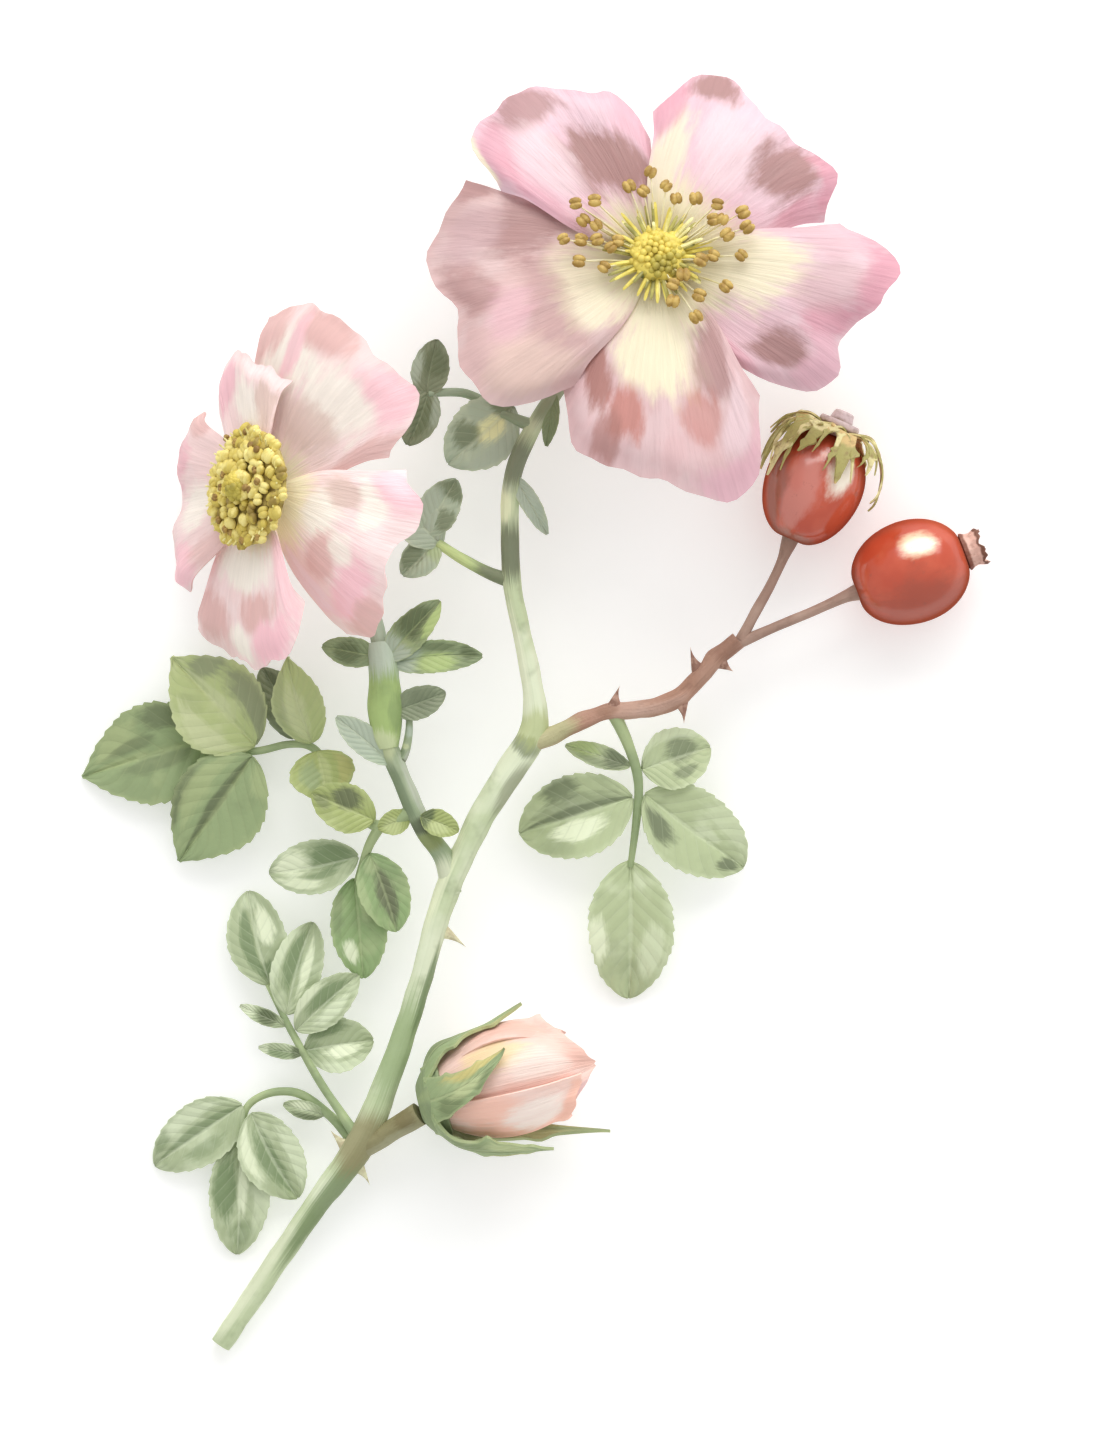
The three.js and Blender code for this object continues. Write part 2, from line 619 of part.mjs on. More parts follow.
function budRadius(height) {
  const { outline } = BUD;
  let index = 1;
  while (index < outline.length - 1 && outline[index][0] < height) index += 1;
  const [lowHeight, lowRadius] = outline[index - 1];
  const [highHeight, highRadius] = outline[index];
  return THREE.MathUtils.mapLinear(height, lowHeight, highHeight, lowRadius, highRadius);
}

// One of the petals wrapped round the bud, its left edge over the next petal's right edge.
function budPetal(turn) {
  const halfSpan = 66;
  const bottom = 2.6;
  const top = 21.6;
  return reshaped(new THREE.BoxGeometry(1, 1, 1, 6, 8, 1), (x, y, z) => {
    const along = THREE.MathUtils.clamp(x + 0.5, 0, 1);
    const height = bottom + (top - bottom) * along * (1 - 0.5 * y * y);
    const angle = THREE.MathUtils.degToRad(turn - halfSpan * 2 * y);
    const radius = budRadius(height) - 0.9 + y * 1.2 + z * PETAL_THICKNESS;
    return [radius * Math.cos(angle), radius * Math.sin(angle), height];
  });
}

function bud() {
  const group = standing(BUD.base, BUD.axis);
  const core = BUD.outline.slice(1, -1).map(([height, radius]) => [radius - 2.2, height]);
  group.add(piece('bud_heart', turned([[0, 3.4], ...core, [0, 22.2]], 10), COLOURS.budPetal, 0.5));
  [0, 120, 240].forEach((turn, index) => {
    group.add(piece(`bud_petal_${index + 1}`, budPetal(turn), COLOURS.budPetal, 0.5));
  });
  const cup = turned([[0, 0], [1.8, 0], [3.9, 1.2], [4.3, 2.0], [0, 2.2]], 10);
  const lift = SEPAL_THICKNESS / 2 + 0.75;
  const sepals = BUD.sepalLengths.map((length, index) => {
    const path = [[3.6, 1.4]];
    for (const share of [0.25, 0.5, 0.75, 1]) {
      const height = length * share;
      // past the broadest part a sepal runs straight on
      path.push([budRadius(Math.min(height, 11)) + lift, height]);
    }
    return strip(path, 5.2).rotateZ(THREE.MathUtils.degToRad(BUD.sepalTurn + index * 72));
  });
  group.add(piece('bud_calyx', joined([cup, ...sepals]), COLOURS.calyx));
  return group;
}

function hipBody(length, radius) {
  const profile = [];
  const steps = 10;
  for (let i = 0; i <= steps; i += 1) {
    const angle = (i / steps) * Math.PI;
    const across = i === 0 || i === steps ? 0 : radius * Math.sin(angle) ** 0.86;
    profile.push([across, (1 - Math.cos(angle)) * length / 2]);
  }
  return turned(profile, 14);
}

function hip(model, crown, crownColour) {
  const group = standing(model.base, model.axis);
  group.add(
    piece(model.name, hipBody(model.length, model.radius), COLOURS.hip, 0.2),
    piece(`${model.name}_calyx`, crown, crownColour, 0.9),
  );
  return group;
}

// The dried disc on the upper hip, with sepals bent back round its shoulders.
function spreadCrown() {
  const top = UPPER_HIP.length + GAP;
  const disc = turned([[0, top], [2.0, top], [2.3, top + 0.8], [1.6, top + 1.4], [0, top + 1.1]], 9);
  const path = [[1, top + 0.6], [4, top + 0.6], [6.9, top - 2.4], [7.4, top - 5.6], [7.8, top - 8.6]];
  const firstTurn = 30.4; // two sepals rest either side of the lowest line
  const sepals = [0, 72, 144, 216, 288].map((turn) => (
    strip(path, 2.6).rotateZ(THREE.MathUtils.degToRad(turn + firstTurn))
  ));
  return joined([disc, ...sepals]);
}

// The dry stub left on the lower hip.
function shortCrown() {
  const top = LOWER_HIP.length + GAP;
  return turned([[0, top], [2.1, top], [1.9, top + 0.9], [2.3, top + 1.9], [0, top + 1.4]], 8);
}

// ---------------------------------------------------------------- the sprig
const group = new THREE.Group();
group.name = 'rose_hip_sprig';
group.position.set(...SPRIG_OFFSET);
group.add(
  ...stems(),
  ...leafStalks(),
  ...leaflets(),
  ...wholeLeaves(),
  flower(LARGE_FLOWER),
  flower(SIDE_FLOWER),
  bud(),
  hip(UPPER_HIP, spreadCrown(), COLOURS.driedCalyx),
  hip(LOWER_HIP, shortCrown(), COLOURS.calyxStub),
);
group.updateMatrixWorld(true);

export default group;
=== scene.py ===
"""A cut sprig of dog rose, lying flat: two open flowers, a bud, two ripe hips and its leaves."""

import math
import random

import bpy
from mathutils import Matrix, Vector, noise


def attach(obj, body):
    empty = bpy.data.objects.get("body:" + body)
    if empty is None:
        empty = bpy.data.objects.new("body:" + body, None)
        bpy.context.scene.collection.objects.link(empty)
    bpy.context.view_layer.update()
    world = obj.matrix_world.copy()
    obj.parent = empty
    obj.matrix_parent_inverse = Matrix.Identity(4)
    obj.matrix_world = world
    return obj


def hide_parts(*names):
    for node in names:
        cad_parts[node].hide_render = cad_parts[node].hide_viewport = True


bl_info = {
    "name": "Dog Rose Sprig",
    "version": (1, 0, 0),
    "blender": (4, 5, 0),
    "location": "View3D > Sidebar > Sprig",
    "description": "Models the flowers, bud, hips, leaves and stems of a cut dog rose sprig",
    "category": "Object",
}

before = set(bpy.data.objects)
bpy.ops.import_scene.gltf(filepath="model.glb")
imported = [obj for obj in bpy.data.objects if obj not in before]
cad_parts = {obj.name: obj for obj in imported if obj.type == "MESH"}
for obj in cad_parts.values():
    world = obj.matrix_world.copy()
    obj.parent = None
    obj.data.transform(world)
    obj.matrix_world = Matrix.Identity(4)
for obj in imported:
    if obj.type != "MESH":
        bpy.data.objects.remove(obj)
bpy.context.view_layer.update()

MM = 0.001
SPRIG_OFFSET = Vector((0.0, 1.2, 0.0))  # mm, from the sprig's own middle to the frame's origin
IN_FRAME = Matrix.Scale(MM, 4) @ Matrix.Translation(SPRIG_OFFSET)
MASTER = IN_FRAME.inverted()  # for a piece in plain mm that is only there to be copied
SURFACE_MAP = "surface_map"  # across a piece, then along it
UP = Vector((0, 0, 1))
GOLDEN_ANGLE = math.pi * (3 - math.sqrt(5))
SMOOTH_ANGLE = 50  # degrees between two faces, up to which their edge is shaded smooth
WHITE = (1.0, 1.0, 1.0, 1.0)

STEM_RINGS = 8  # from one point of a route to the next
STEM_SIDES = 18
STALK_SIDES = 10
PRICKLE_FOOT = (1.1, 0.6)  # mm along and across the stem
VEIN_PAIRS = 8.0
VEIN_SLANT = 2.4
TOOTH_SPACING = 1.5  # mm along a leaflet's edge
PETAL_CLAW = 3.2  # mm from the flower's middle to a petal's base
ANTHER_RADIUS = 0.52  # mm, of each of its two lobes
STIGMAS = 66
CUSHION_ANTHERS = 78
CUSHION_THREADS = 30
BUD_HALF_SPAN = 68.0  # degrees that a petal of the bud reaches to each side
BUD_PETAL_BOTTOM = 2.4  # mm above the bud's base

# ------------------------------------------------------------------ the sprig's measures, mm
# Stem routes: x, y, z of the centre line and the radius there.
ROUTES = {
    "main_stem": [
        (-40.5, -82.1, 1.5, 1.4), (-35.3, -74.4, 2.2, 1.45), (-28.8, -64.9, 3.4, 1.55),
        (-22.2, -55.6, 5.0, 1.95), (-17.9, -45.2, 6.4, 1.6), (-14.6, -35.2, 7.6, 1.45),
        (-11.7, -24.9, 8.6, 1.6), (-8.0, -16.2, 9.2, 1.65), (-3.9, -9.0, 9.7, 1.85),
        (-0.1, -3.2, 10.1, 1.9), (0.3, 1.1, 10.4, 1.5), (-0.8, 7.8, 10.6, 1.25),
        (-2.5, 15.8, 10.6, 1.2), (-2.9, 22.9, 10.6, 1.2), (-2.5, 30.6, 10.8, 1.2),
        (0.3, 37.1, 10.8, 1.05), (5.9, 45.3, 10.2, 1.0), (12.0, 51.8, 9.8, 1.0),
        (15.1, 55.4, 10.6, 1.0), (15.8, 56.3, 12.6, 1.0),
    ],
    "side_stem": [
        (-10.4, -23.4, 8.6, 1.3), (-11.4, -18.9, 9.4, 1.35), (-13.6, -15.6, 10.2, 1.35),
        (-15.4, -12.1, 10.6, 1.3), (-16.8, -8.7, 10.8, 1.25), (-18.1, -5.5, 11.0, 1.2),
        (-19.0, -2.0, 11.2, 1.15), (-19.1, 3.9, 11.3, 1.15), (-19.6, 8.4, 10.9, 1.1),
        (-20.8, 13.2, 10.0, 1.05), (-22.6, 18.6, 9.3, 1.0), (-24.6, 23.6, 9.8, 1.0),
        (-26.8, 27.0, 12.1, 1.0), (-28.8, 28.0, 14.2, 1.0),
    ],
    "hip_branch": [
        (0.2, -3.7, 10.2, 1.25), (3.6, -2.4, 10.2, 1.2), (6.8, -1.0, 10.0, 1.05),
        (10.4, 0.1, 9.6, 1.1), (14.9, 0.6, 9.3, 1.2), (19.1, 2.1, 9.0, 1.15),
        (21.7, 4.7, 8.8, 1.15), (24.0, 7.3, 8.6, 1.25), (26.6, 9.3, 8.5, 1.15),
    ],
    "upper_hip_stalk": [
        (26.9, 9.3, 8.4, 0.75), (29.1, 13.4, 8.0, 0.65), (31.0, 16.8, 7.5, 0.62),
        (32.4, 19.9, 7.0, 0.68), (33.4, 22.6, 6.75, 1.15),
    ],
    "lower_hip_stalk": [
        (26.7, 9.0, 8.4, 0.75), (30.8, 10.8, 8.0, 0.65), (36.3, 13.1, 7.4, 0.65),
        (40.2, 14.9, 7.0, 0.75), (42.2, 15.65, 6.85, 1.15),
    ],
    "bud_stalk": [
        (-22.2, -56.4, 5.0, 1.45), (-19.6, -55.0, 5.8, 1.45), (-17.1, -53.4, 6.8, 1.45),
        (-14.6, -51.9, 7.6, 1.6),
    ],
    "leaf_a_stalk": [
        (10.4, 0.1, 9.6, 1.0), (12.3, -3.9, 8.3, 0.72), (13.7, -8.7, 6.8, 0.62),
        (13.5, -13.7, 5.4, 0.55), (12.7, -20.0, 4.1, 0.4),
    ],
    "leaf_b_stalk": [
        (-15.2, -12.5, 10.6, 1.0), (-19.7, -14.7, 9.0, 0.8), (-22.9, -12.4, 7.2, 0.65),
        (-25.9, -8.1, 5.6, 0.6), (-28.3, -4.7, 5.0, 0.55), (-31.4, -4.1, 4.6, 0.5),
        (-35.8, -5.0, 3.7, 0.5), (-41.5, -5.1, 2.4, 0.4),
    ],
    "leaf_e_stalk": [
        (-19.7, -14.7, 9.0, 0.75), (-21.2, -17.4, 7.7, 0.58), (-22.7, -21.8, 6.0, 0.42),
    ],
    "leaf_c_stalk": [
        (-22.6, -55.1, 5.2, 0.8), (-25.1, -51.5, 4.9, 0.6), (-27.8, -47.4, 4.6, 0.55),
        (-31.2, -41.4, 4.2, 0.48), (-34.3, -35.3, 3.5, 0.38),
    ],
    "leaf_d_stalk": [
        (-23.0, -55.8, 4.2, 0.8), (-26.3, -52.3, 3.0, 0.62), (-30.2, -49.5, 2.4, 0.58),
        (-34.1, -49.4, 2.1, 0.52), (-37.1, -51.3, 1.9, 0.48), (-37.8, -55.4, 1.8, 0.36),
    ],
    "upper_leaf": [
        (0.0, 37.0, 10.8, 0.9), (-3.9, 38.6, 9.6, 0.7), (-8.5, 41.2, 9.2, 0.6),
        (-13.4, 41.2, 9.2, 0.5),
    ],
    "middle_leaf": [
        (-2.6, 17.0, 10.6, 1.0), (-5.4, 17.9, 9.9, 0.8), (-9.3, 20.0, 9.3, 0.7),
        (-12.2, 21.9, 9.0, 0.6),
    ],
    "bracts": [
        (-18.6, -4.6, 11.1, 1.3), (-18.9, -2.6, 11.15, 1.9), (-19.0, 0.6, 11.25, 2.2),
        (-19.1, 4.4, 11.3, 2.0), (-19.6, 9.0, 10.9, 1.8),
    ],
    "bract_stalk": [
        (-17.4, -6.8, 10.9, 0.7), (-16.4, -5.0, 11.0, 0.6), (-15.9, -2.4, 11.2, 0.5),
        (-15.9, 0.2, 11.2, 0.4),
    ],
}

# Leaflets: base, tip, width, look and patches. A patch has its tone, place across from -1 on the
# right to 1 on the left, place along, size across, size along and strength. The near-white and
# pale yellow patches are painted highlights; the dark and light ones are partly the leaf's own
# tones and partly painted shade and light.
LEAFLETS = {
    "leaf_a_terminal": (
        (12.7, -19.3, 4.1), (12.5, -37.1, 0.7), 10.9, "sage",
        [("painted_highlight", -0.84, 0.55, 0.3, 0.17, 0.8), ("light", 0.56, 0.63, 0.36, 0.2, 0.8),
         ("light", 0.32, 0.13, 0.22, 0.08, 0.7)],
    ),
    "leaf_a_left": (
        (12.9, -11.0, 6.1), (-1.7, -15.7, 2.8), 10.7, "sage",
        [("dark", -0.78, 0.54, 0.36, 0.17, 0.8), ("dark", -0.32, 0.48, 0.26, 0.44, 0.45),
         ("dark", -0.14, 0.45, 0.12, 0.55, 0.8), ("painted_highlight", 0.35, 0.49, 0.28, 0.24, 0.9)],
    ),
    "leaf_a_right": (
        (14.6, -10.6, 6.1), (27.4, -20.1, 2.8), 10.4, "sage",
        [("dark", -0.5, 0.23, 0.3, 0.18, 0.9), ("dark", -0.35, 0.88, 0.36, 0.09, 0.9),
         ("light", 0.16, 0.59, 0.18, 0.12, 0.7), ("light", 0.75, 0.7, 0.3, 0.3, 0.5)],
    ),
    "leaf_a_upper_right": (
        (14.2, -7.4, 7.0), (23.0, -4.5, 5.4), 7.8, "sage",
        [("dark", 0.25, 0.6, 0.5, 0.24, 0.75), ("dark", -0.55, 0.55, 0.2, 0.2, 0.7),
         ("light", 0.9, 0.5, 0.25, 0.5, 0.6)],
    ),
    "leaf_a_upper_left": (
        (12.6, -7.0, 7.4), (4.3, -4.2, 6.6), 3.0, "sage",
        [("dark", -0.3, 0.22, 1.4, 0.2, 0.9), ("spring", -0.3, 0.75, 0.9, 0.26, 0.7),
         ("dark", 0.6, 0.5, 0.4, 0.3, 0.5)],
    ),
    "leaf_b_upper": (
        (-35.9, -4.2, 4.6), (-46.8, 7.2, 4.4), 12.0, "olive",
        [("dark", -0.68, 0.26, 0.36, 0.38, 0.85), ("dark", -0.75, 0.76, 0.8, 0.12, 0.8),
         ("light", 0.68, 0.36, 0.26, 0.32, 0.8), ("light", -0.1, 0.57, 0.13, 0.36, 0.6)],
    ),
    "leaf_b_terminal": (
        (-41.3, -2.9, 2.2), (-58.5, -8.4, 0.7), 12.9, "olive_deep",
        [("light", -0.6, 0.7, 0.4, 0.2, 0.8), ("dark", -0.72, 0.29, 0.34, 0.2, 0.8),
         ("dark", -0.32, 0.6, 0.15, 0.2, 0.6), ("light", -0.05, 0.72, 0.12, 0.24, 0.6),
         ("dark", 0.2, 0.42, 0.2, 0.28, 0.5)],
    ),
    "leaf_b_lower": (
        (-36.3, -5.7, 4.8), (-45.9, -19.3, 2.2), 11.9, "olive_deep",
        [("dark", -0.1, 0.42, 0.14, 0.5, 0.9), ("dark", -0.95, 0.52, 0.22, 0.28, 0.85),
         ("light", -0.62, 0.42, 0.26, 0.36, 0.75), ("light", 0.7, 0.12, 0.4, 0.12, 0.6)],
    ),
    "leaf_b_inner_upper": (
        (-28.6, -3.9, 6.0), (-31.7, 7.2, 7.5), 6.5, "olive",
        [("light", 0.2, 0.35, 0.5, 0.4, 0.7), ("dark", 0.75, 0.6, 0.3, 0.4, 0.4)],
    ),
    "leaf_b_shaded": (
        (-30.9, -3.3, 4.6), (-35.1, 5.8, 2.4), 5.2, "shaded",
        [("dark", -0.2, 0.8, 0.5, 0.2, 0.8)],
    ),
    "leaf_b_round": (
        (-27.9, -5.0, 6.2), (-26.6, -11.4, 8.6), 8.3, "lime",
        [("light", 0.1, 0.5, 0.22, 0.6, 0.6), ("cool", -0.4, 0.5, 0.35, 0.35, 0.5),
         ("warm", 0.75, 0.5, 0.25, 0.4, 0.4)],
    ),
    "leaf_b_inner_lower": (
        (-20.4, -13.9, 10.0), (-28.4, -10.4, 10.2), 6.2, "lime",
        [("dark", -0.4, 0.5, 0.5, 0.26, 0.9), ("dark", 0.2, 0.85, 0.5, 0.16, 0.5)],
    ),
    "leaf_e_left": (
        (-22.6, -18.6, 7.4), (-34.1, -20.8, 5.6), 6.8, "dappled",
        [("dark", -0.35, 0.27, 0.6, 0.28, 0.85), ("painted_highlight", -0.3, 0.75, 0.6, 0.22, 0.7),
         ("painted_highlight", 0.62, 0.68, 0.25, 0.26, 0.6), ("dark", 0.36, 0.42, 0.16, 0.2, 0.6)],
    ),
    "leaf_e_right": (
        (-21.0, -18.3, 7.9), (-17.5, -28.3, 7.0), 6.5, "fresh",
        [("dark", 0.05, 0.55, 0.42, 0.4, 0.9), ("light", -0.92, 0.45, 0.28, 0.26, 0.5),
         ("light", -0.2, 0.12, 0.5, 0.12, 0.5)],
    ),
    "leaf_e_terminal": (
        (-23.1, -21.5, 5.9), (-21.9, -34.4, 4.2), 7.2, "fresh",
        [("painted_highlight", -0.45, 0.72, 0.32, 0.13, 0.85), ("light", 0.3, 0.2, 0.2, 0.22, 0.5),
         ("dark", -0.85, 0.32, 0.3, 0.24, 0.35)],
    ),
    "leaf_c_terminal": (
        (-34.0, -35.4, 3.4), (-36.9, -23.2, 1.6), 7.6, "dappled",
        [("dark", 0.34, 0.46, 0.26, 0.4, 0.8), ("dark", -0.1, 0.15, 0.5, 0.11, 0.8),
         ("painted_highlight", -0.41, 0.62, 0.34, 0.22, 0.85), ("light", 0.0, 0.9, 0.6, 0.1, 0.5)],
    ),
    "leaf_c_upper_right": (
        (-31.9, -39.1, 4.2), (-28.5, -27.2, 3.2), 6.5, "dappled",
        [("dark", 0.25, 0.58, 0.34, 0.36, 0.8), ("painted_highlight", -0.4, 0.5, 0.2, 0.34, 0.7),
         ("light", 0.9, 0.6, 0.28, 0.4, 0.7)],
    ),
    "leaf_c_right": (
        (-30.6, -41.2, 4.9), (-22.6, -34.0, 5.2), 5.5, "dappled",
        [("dark", 0.3, 0.57, 0.42, 0.34, 0.75), ("painted_highlight", 0.83, 0.34, 0.24, 0.3, 0.6),
         ("light", -0.5, 0.5, 0.3, 0.3, 0.7)],
    ),
    "leaf_c_lower_right": (
        (-29.6, -43.8, 4.3), (-20.7, -42.5, 3.2), 7.0, "dappled",
        [("dark", 0.75, 0.35, 0.36, 0.3, 0.7), ("painted_highlight", -0.25, 0.55, 0.26, 0.28, 0.85),
         ("dark", 0.0, 0.1, 0.6, 0.14, 0.5), ("light", -0.85, 0.6, 0.25, 0.4, 0.6)],
    ),
    "leaf_d_left": (
        (-37.7, -51.0, 2.2), (-49.1, -58.8, 0.9), 8.0, "dappled",
        [("dark", -0.15, 0.42, 0.18, 0.5, 0.65), ("light", -0.72, 0.46, 0.26, 0.34, 0.7),
         ("dark", 0.5, 0.5, 0.26, 0.22, 0.45), ("dark", -0.7, 0.82, 0.3, 0.12, 0.5)],
    ),
    "leaf_d_terminal": (
        (-38.1, -55.1, 1.8), (-38.4, -70.4, 0.7), 7.8, "dappled",
        [("dark", -0.5, 0.42, 0.46, 0.3, 0.85), ("painted_highlight", 0.1, 0.42, 0.2, 0.24, 0.7),
         ("light", 0.75, 0.5, 0.28, 0.4, 0.5), ("dark", 0.1, 0.82, 0.6, 0.12, 0.4)],
    ),
    "leaf_d_right": (
        (-36.5, -52.0, 3.1), (-30.5, -63.0, 2.2), 8.1, "dappled",
        [("dark", -0.11, 0.53, 0.36, 0.42, 0.8), ("painted_highlight", -0.7, 0.33, 0.22, 0.34, 0.7),
         ("light", 0.75, 0.6, 0.3, 0.4, 0.7)],
    ),
}

# Leaflets that share a node with their stalk, with patches as a leaflet's, painted highlights
# among them.
GROWN_LEAFLETS = {
    "leaf_b_stalk": (
        ((-15.8, -13.4, 10.4), (-19.9, -14.9, 10.4), 3.2, "lime",
         [("light", 0.3, 0.6, 0.8, 0.3, 0.6)]),
        ((-14.4, -13.4, 12.3), (-9.5, -15.3, 12.0), 3.4, "lime",
         [("deep", 0.2, 0.14, 1.4, 0.18, 0.9), ("light", -0.4, 0.5, 0.5, 0.3, 0.8)]),
    ),
    "leaf_c_stalk": (
        ((-32.0, -40.6, 4.2), (-37.9, -38.0, 3.4), 2.1, "dappled",
         [("deep", -0.2, 0.4, 1.4, 0.22, 0.95), ("light", 0.0, 0.85, 2.0, 0.18, 0.8)]),
        ((-29.7, -44.2, 4.5), (-35.5, -43.4, 3.8), 2.0, "dappled",
         [("deep", 0.0, 0.14, 1.4, 0.14, 0.9), ("dark", 0.4, 0.5, 0.6, 0.3, 0.7),
          ("light", 0.0, 0.9, 2.0, 0.14, 0.7)]),
    ),
    "leaf_d_stalk": (
        ((-27.0, -52.2, 3.1), (-32.3, -50.8, 2.4), 2.4, "dappled",
         [("deep", 0.8, 0.4, 0.5, 0.4, 0.9), ("painted_highlight", -0.4, 0.55, 0.5, 0.3, 0.6)]),
    ),
    "upper_leaf": (
        ((-2.4, 39.6, 9.8), (-10.9, 32.2, 9.6), 8.6, "glaucous",
         [("painted_sunspot", 0.05, 0.36, 0.4, 0.22, 0.95), ("dark", -0.35, 0.64, 0.5, 0.17, 0.85),
          ("dark", -0.34, 0.1, 0.6, 0.13, 0.85), ("hoar", 0.75, 0.55, 0.3, 0.4, 0.6)]),
        ((-13.8, 40.8, 9.2), (-12.3, 48.2, 9.4), 4.8, "shaded",
         [("deep", -0.2, 0.6, 0.8, 0.3, 0.6), ("hoar", 0.9, 0.45, 0.5, 0.3, 0.9)]),
        ((-13.3, 42.0, 9.2), (-16.1, 34.6, 8.6), 4.8, "shaded",
         [("deep", 0.1, 0.5, 0.6, 0.4, 0.7), ("hoar", 0.85, 0.3, 0.4, 0.3, 0.7)]),
    ),
    "middle_leaf": (
        ((-14.0, 22.9, 9.0), (-9.8, 30.1, 9.6), 5.2, "glaucous",
         [("dark", -0.1, 0.84, 1.4, 0.17, 0.95), ("dark", -0.7, 0.36, 0.7, 0.2, 0.8),
          ("hoar", 0.6, 0.5, 0.6, 0.3, 0.7)]),
        ((-11.8, 21.6, 9.0), (-17.4, 27.7, 9.0), 5.6, "glaucous",
         [("hoar", 0.0, 0.5, 1.2, 0.5, 0.7)]),
        ((-12.3, 22.6, 9.0), (-16.8, 17.8, 8.4), 4.6, "glaucous",
         [("dark", -0.5, 0.6, 0.7, 0.36, 0.85), ("spring", 0.4, 0.2, 0.8, 0.2, 0.5)]),
    ),
    "bracts": (
        ((-19.8, 7.2, 11.4), (-27.1, 8.6, 11.0), 3.8, "deep",
         [("deep", 0.1, 0.55, 0.9, 0.26, 0.9)]),
        ((-19.0, 6.6, 11.8), (-11.9, 14.4, 12.0), 4.4, "deep",
         [("deep", 0.2, 0.62, 1.3, 0.26, 1.0), ("spring", -0.75, 0.8, 0.5, 0.3, 0.95),
          ("hoar", 0.0, 0.14, 2.0, 0.2, 0.9)]),
        ((-18.6, 6.4, 11.6), (-6.5, 7.3, 10.6), 4.2, "deep",
         [("hoar", 0.2, 0.16, 1.6, 0.2, 0.9), ("spring", -0.4, 0.5, 0.7, 0.24, 0.9),
          ("deep", 0.3, 0.86, 0.8, 0.1, 0.8), ("deep", 0.6, 0.55, 0.3, 0.18, 0.7)]),
        ((-18.0, 0.1, 11.6), (-11.2, 2.6, 11.0), 4.2, "shaded",
         [("dark", 0.2, 0.6, 0.8, 0.3, 0.5)]),
        ((-18.2, -6.6, 11.3), (-25.3, -0.6, 11.2), 3.8, "glaucous",
         [("hoar", 0.0, 0.6, 1.6, 0.4, 0.9)]),
    ),
}

# Prickles: place along the stem, turn round it in degrees from its left, length and lean.
PRICKLES = {
    "main_stem": [(0.145, 180, 3.0, -25), (0.15, 0, 3.2, 15), (0.3, 180, 3.8, -20)],
    "hip_branch": [
        (0.38, 20, 2.8, 25), (0.62, 170, 2.8, -25), (0.76, 10, 3.0, 30), (0.86, 185, 2.2, 10),
    ],
}
# Stipules on the main stem: base, tip, width and look.
STEM_STIPULES = [
    ((-2.4, 30.6, 11.2), (1.9, 23.0, 10.4), 2.5, "hoary"),
    ((2.8, 41.4, 11.2), (1.8, 34.4, 10.6), 2.1, "deep"),
]

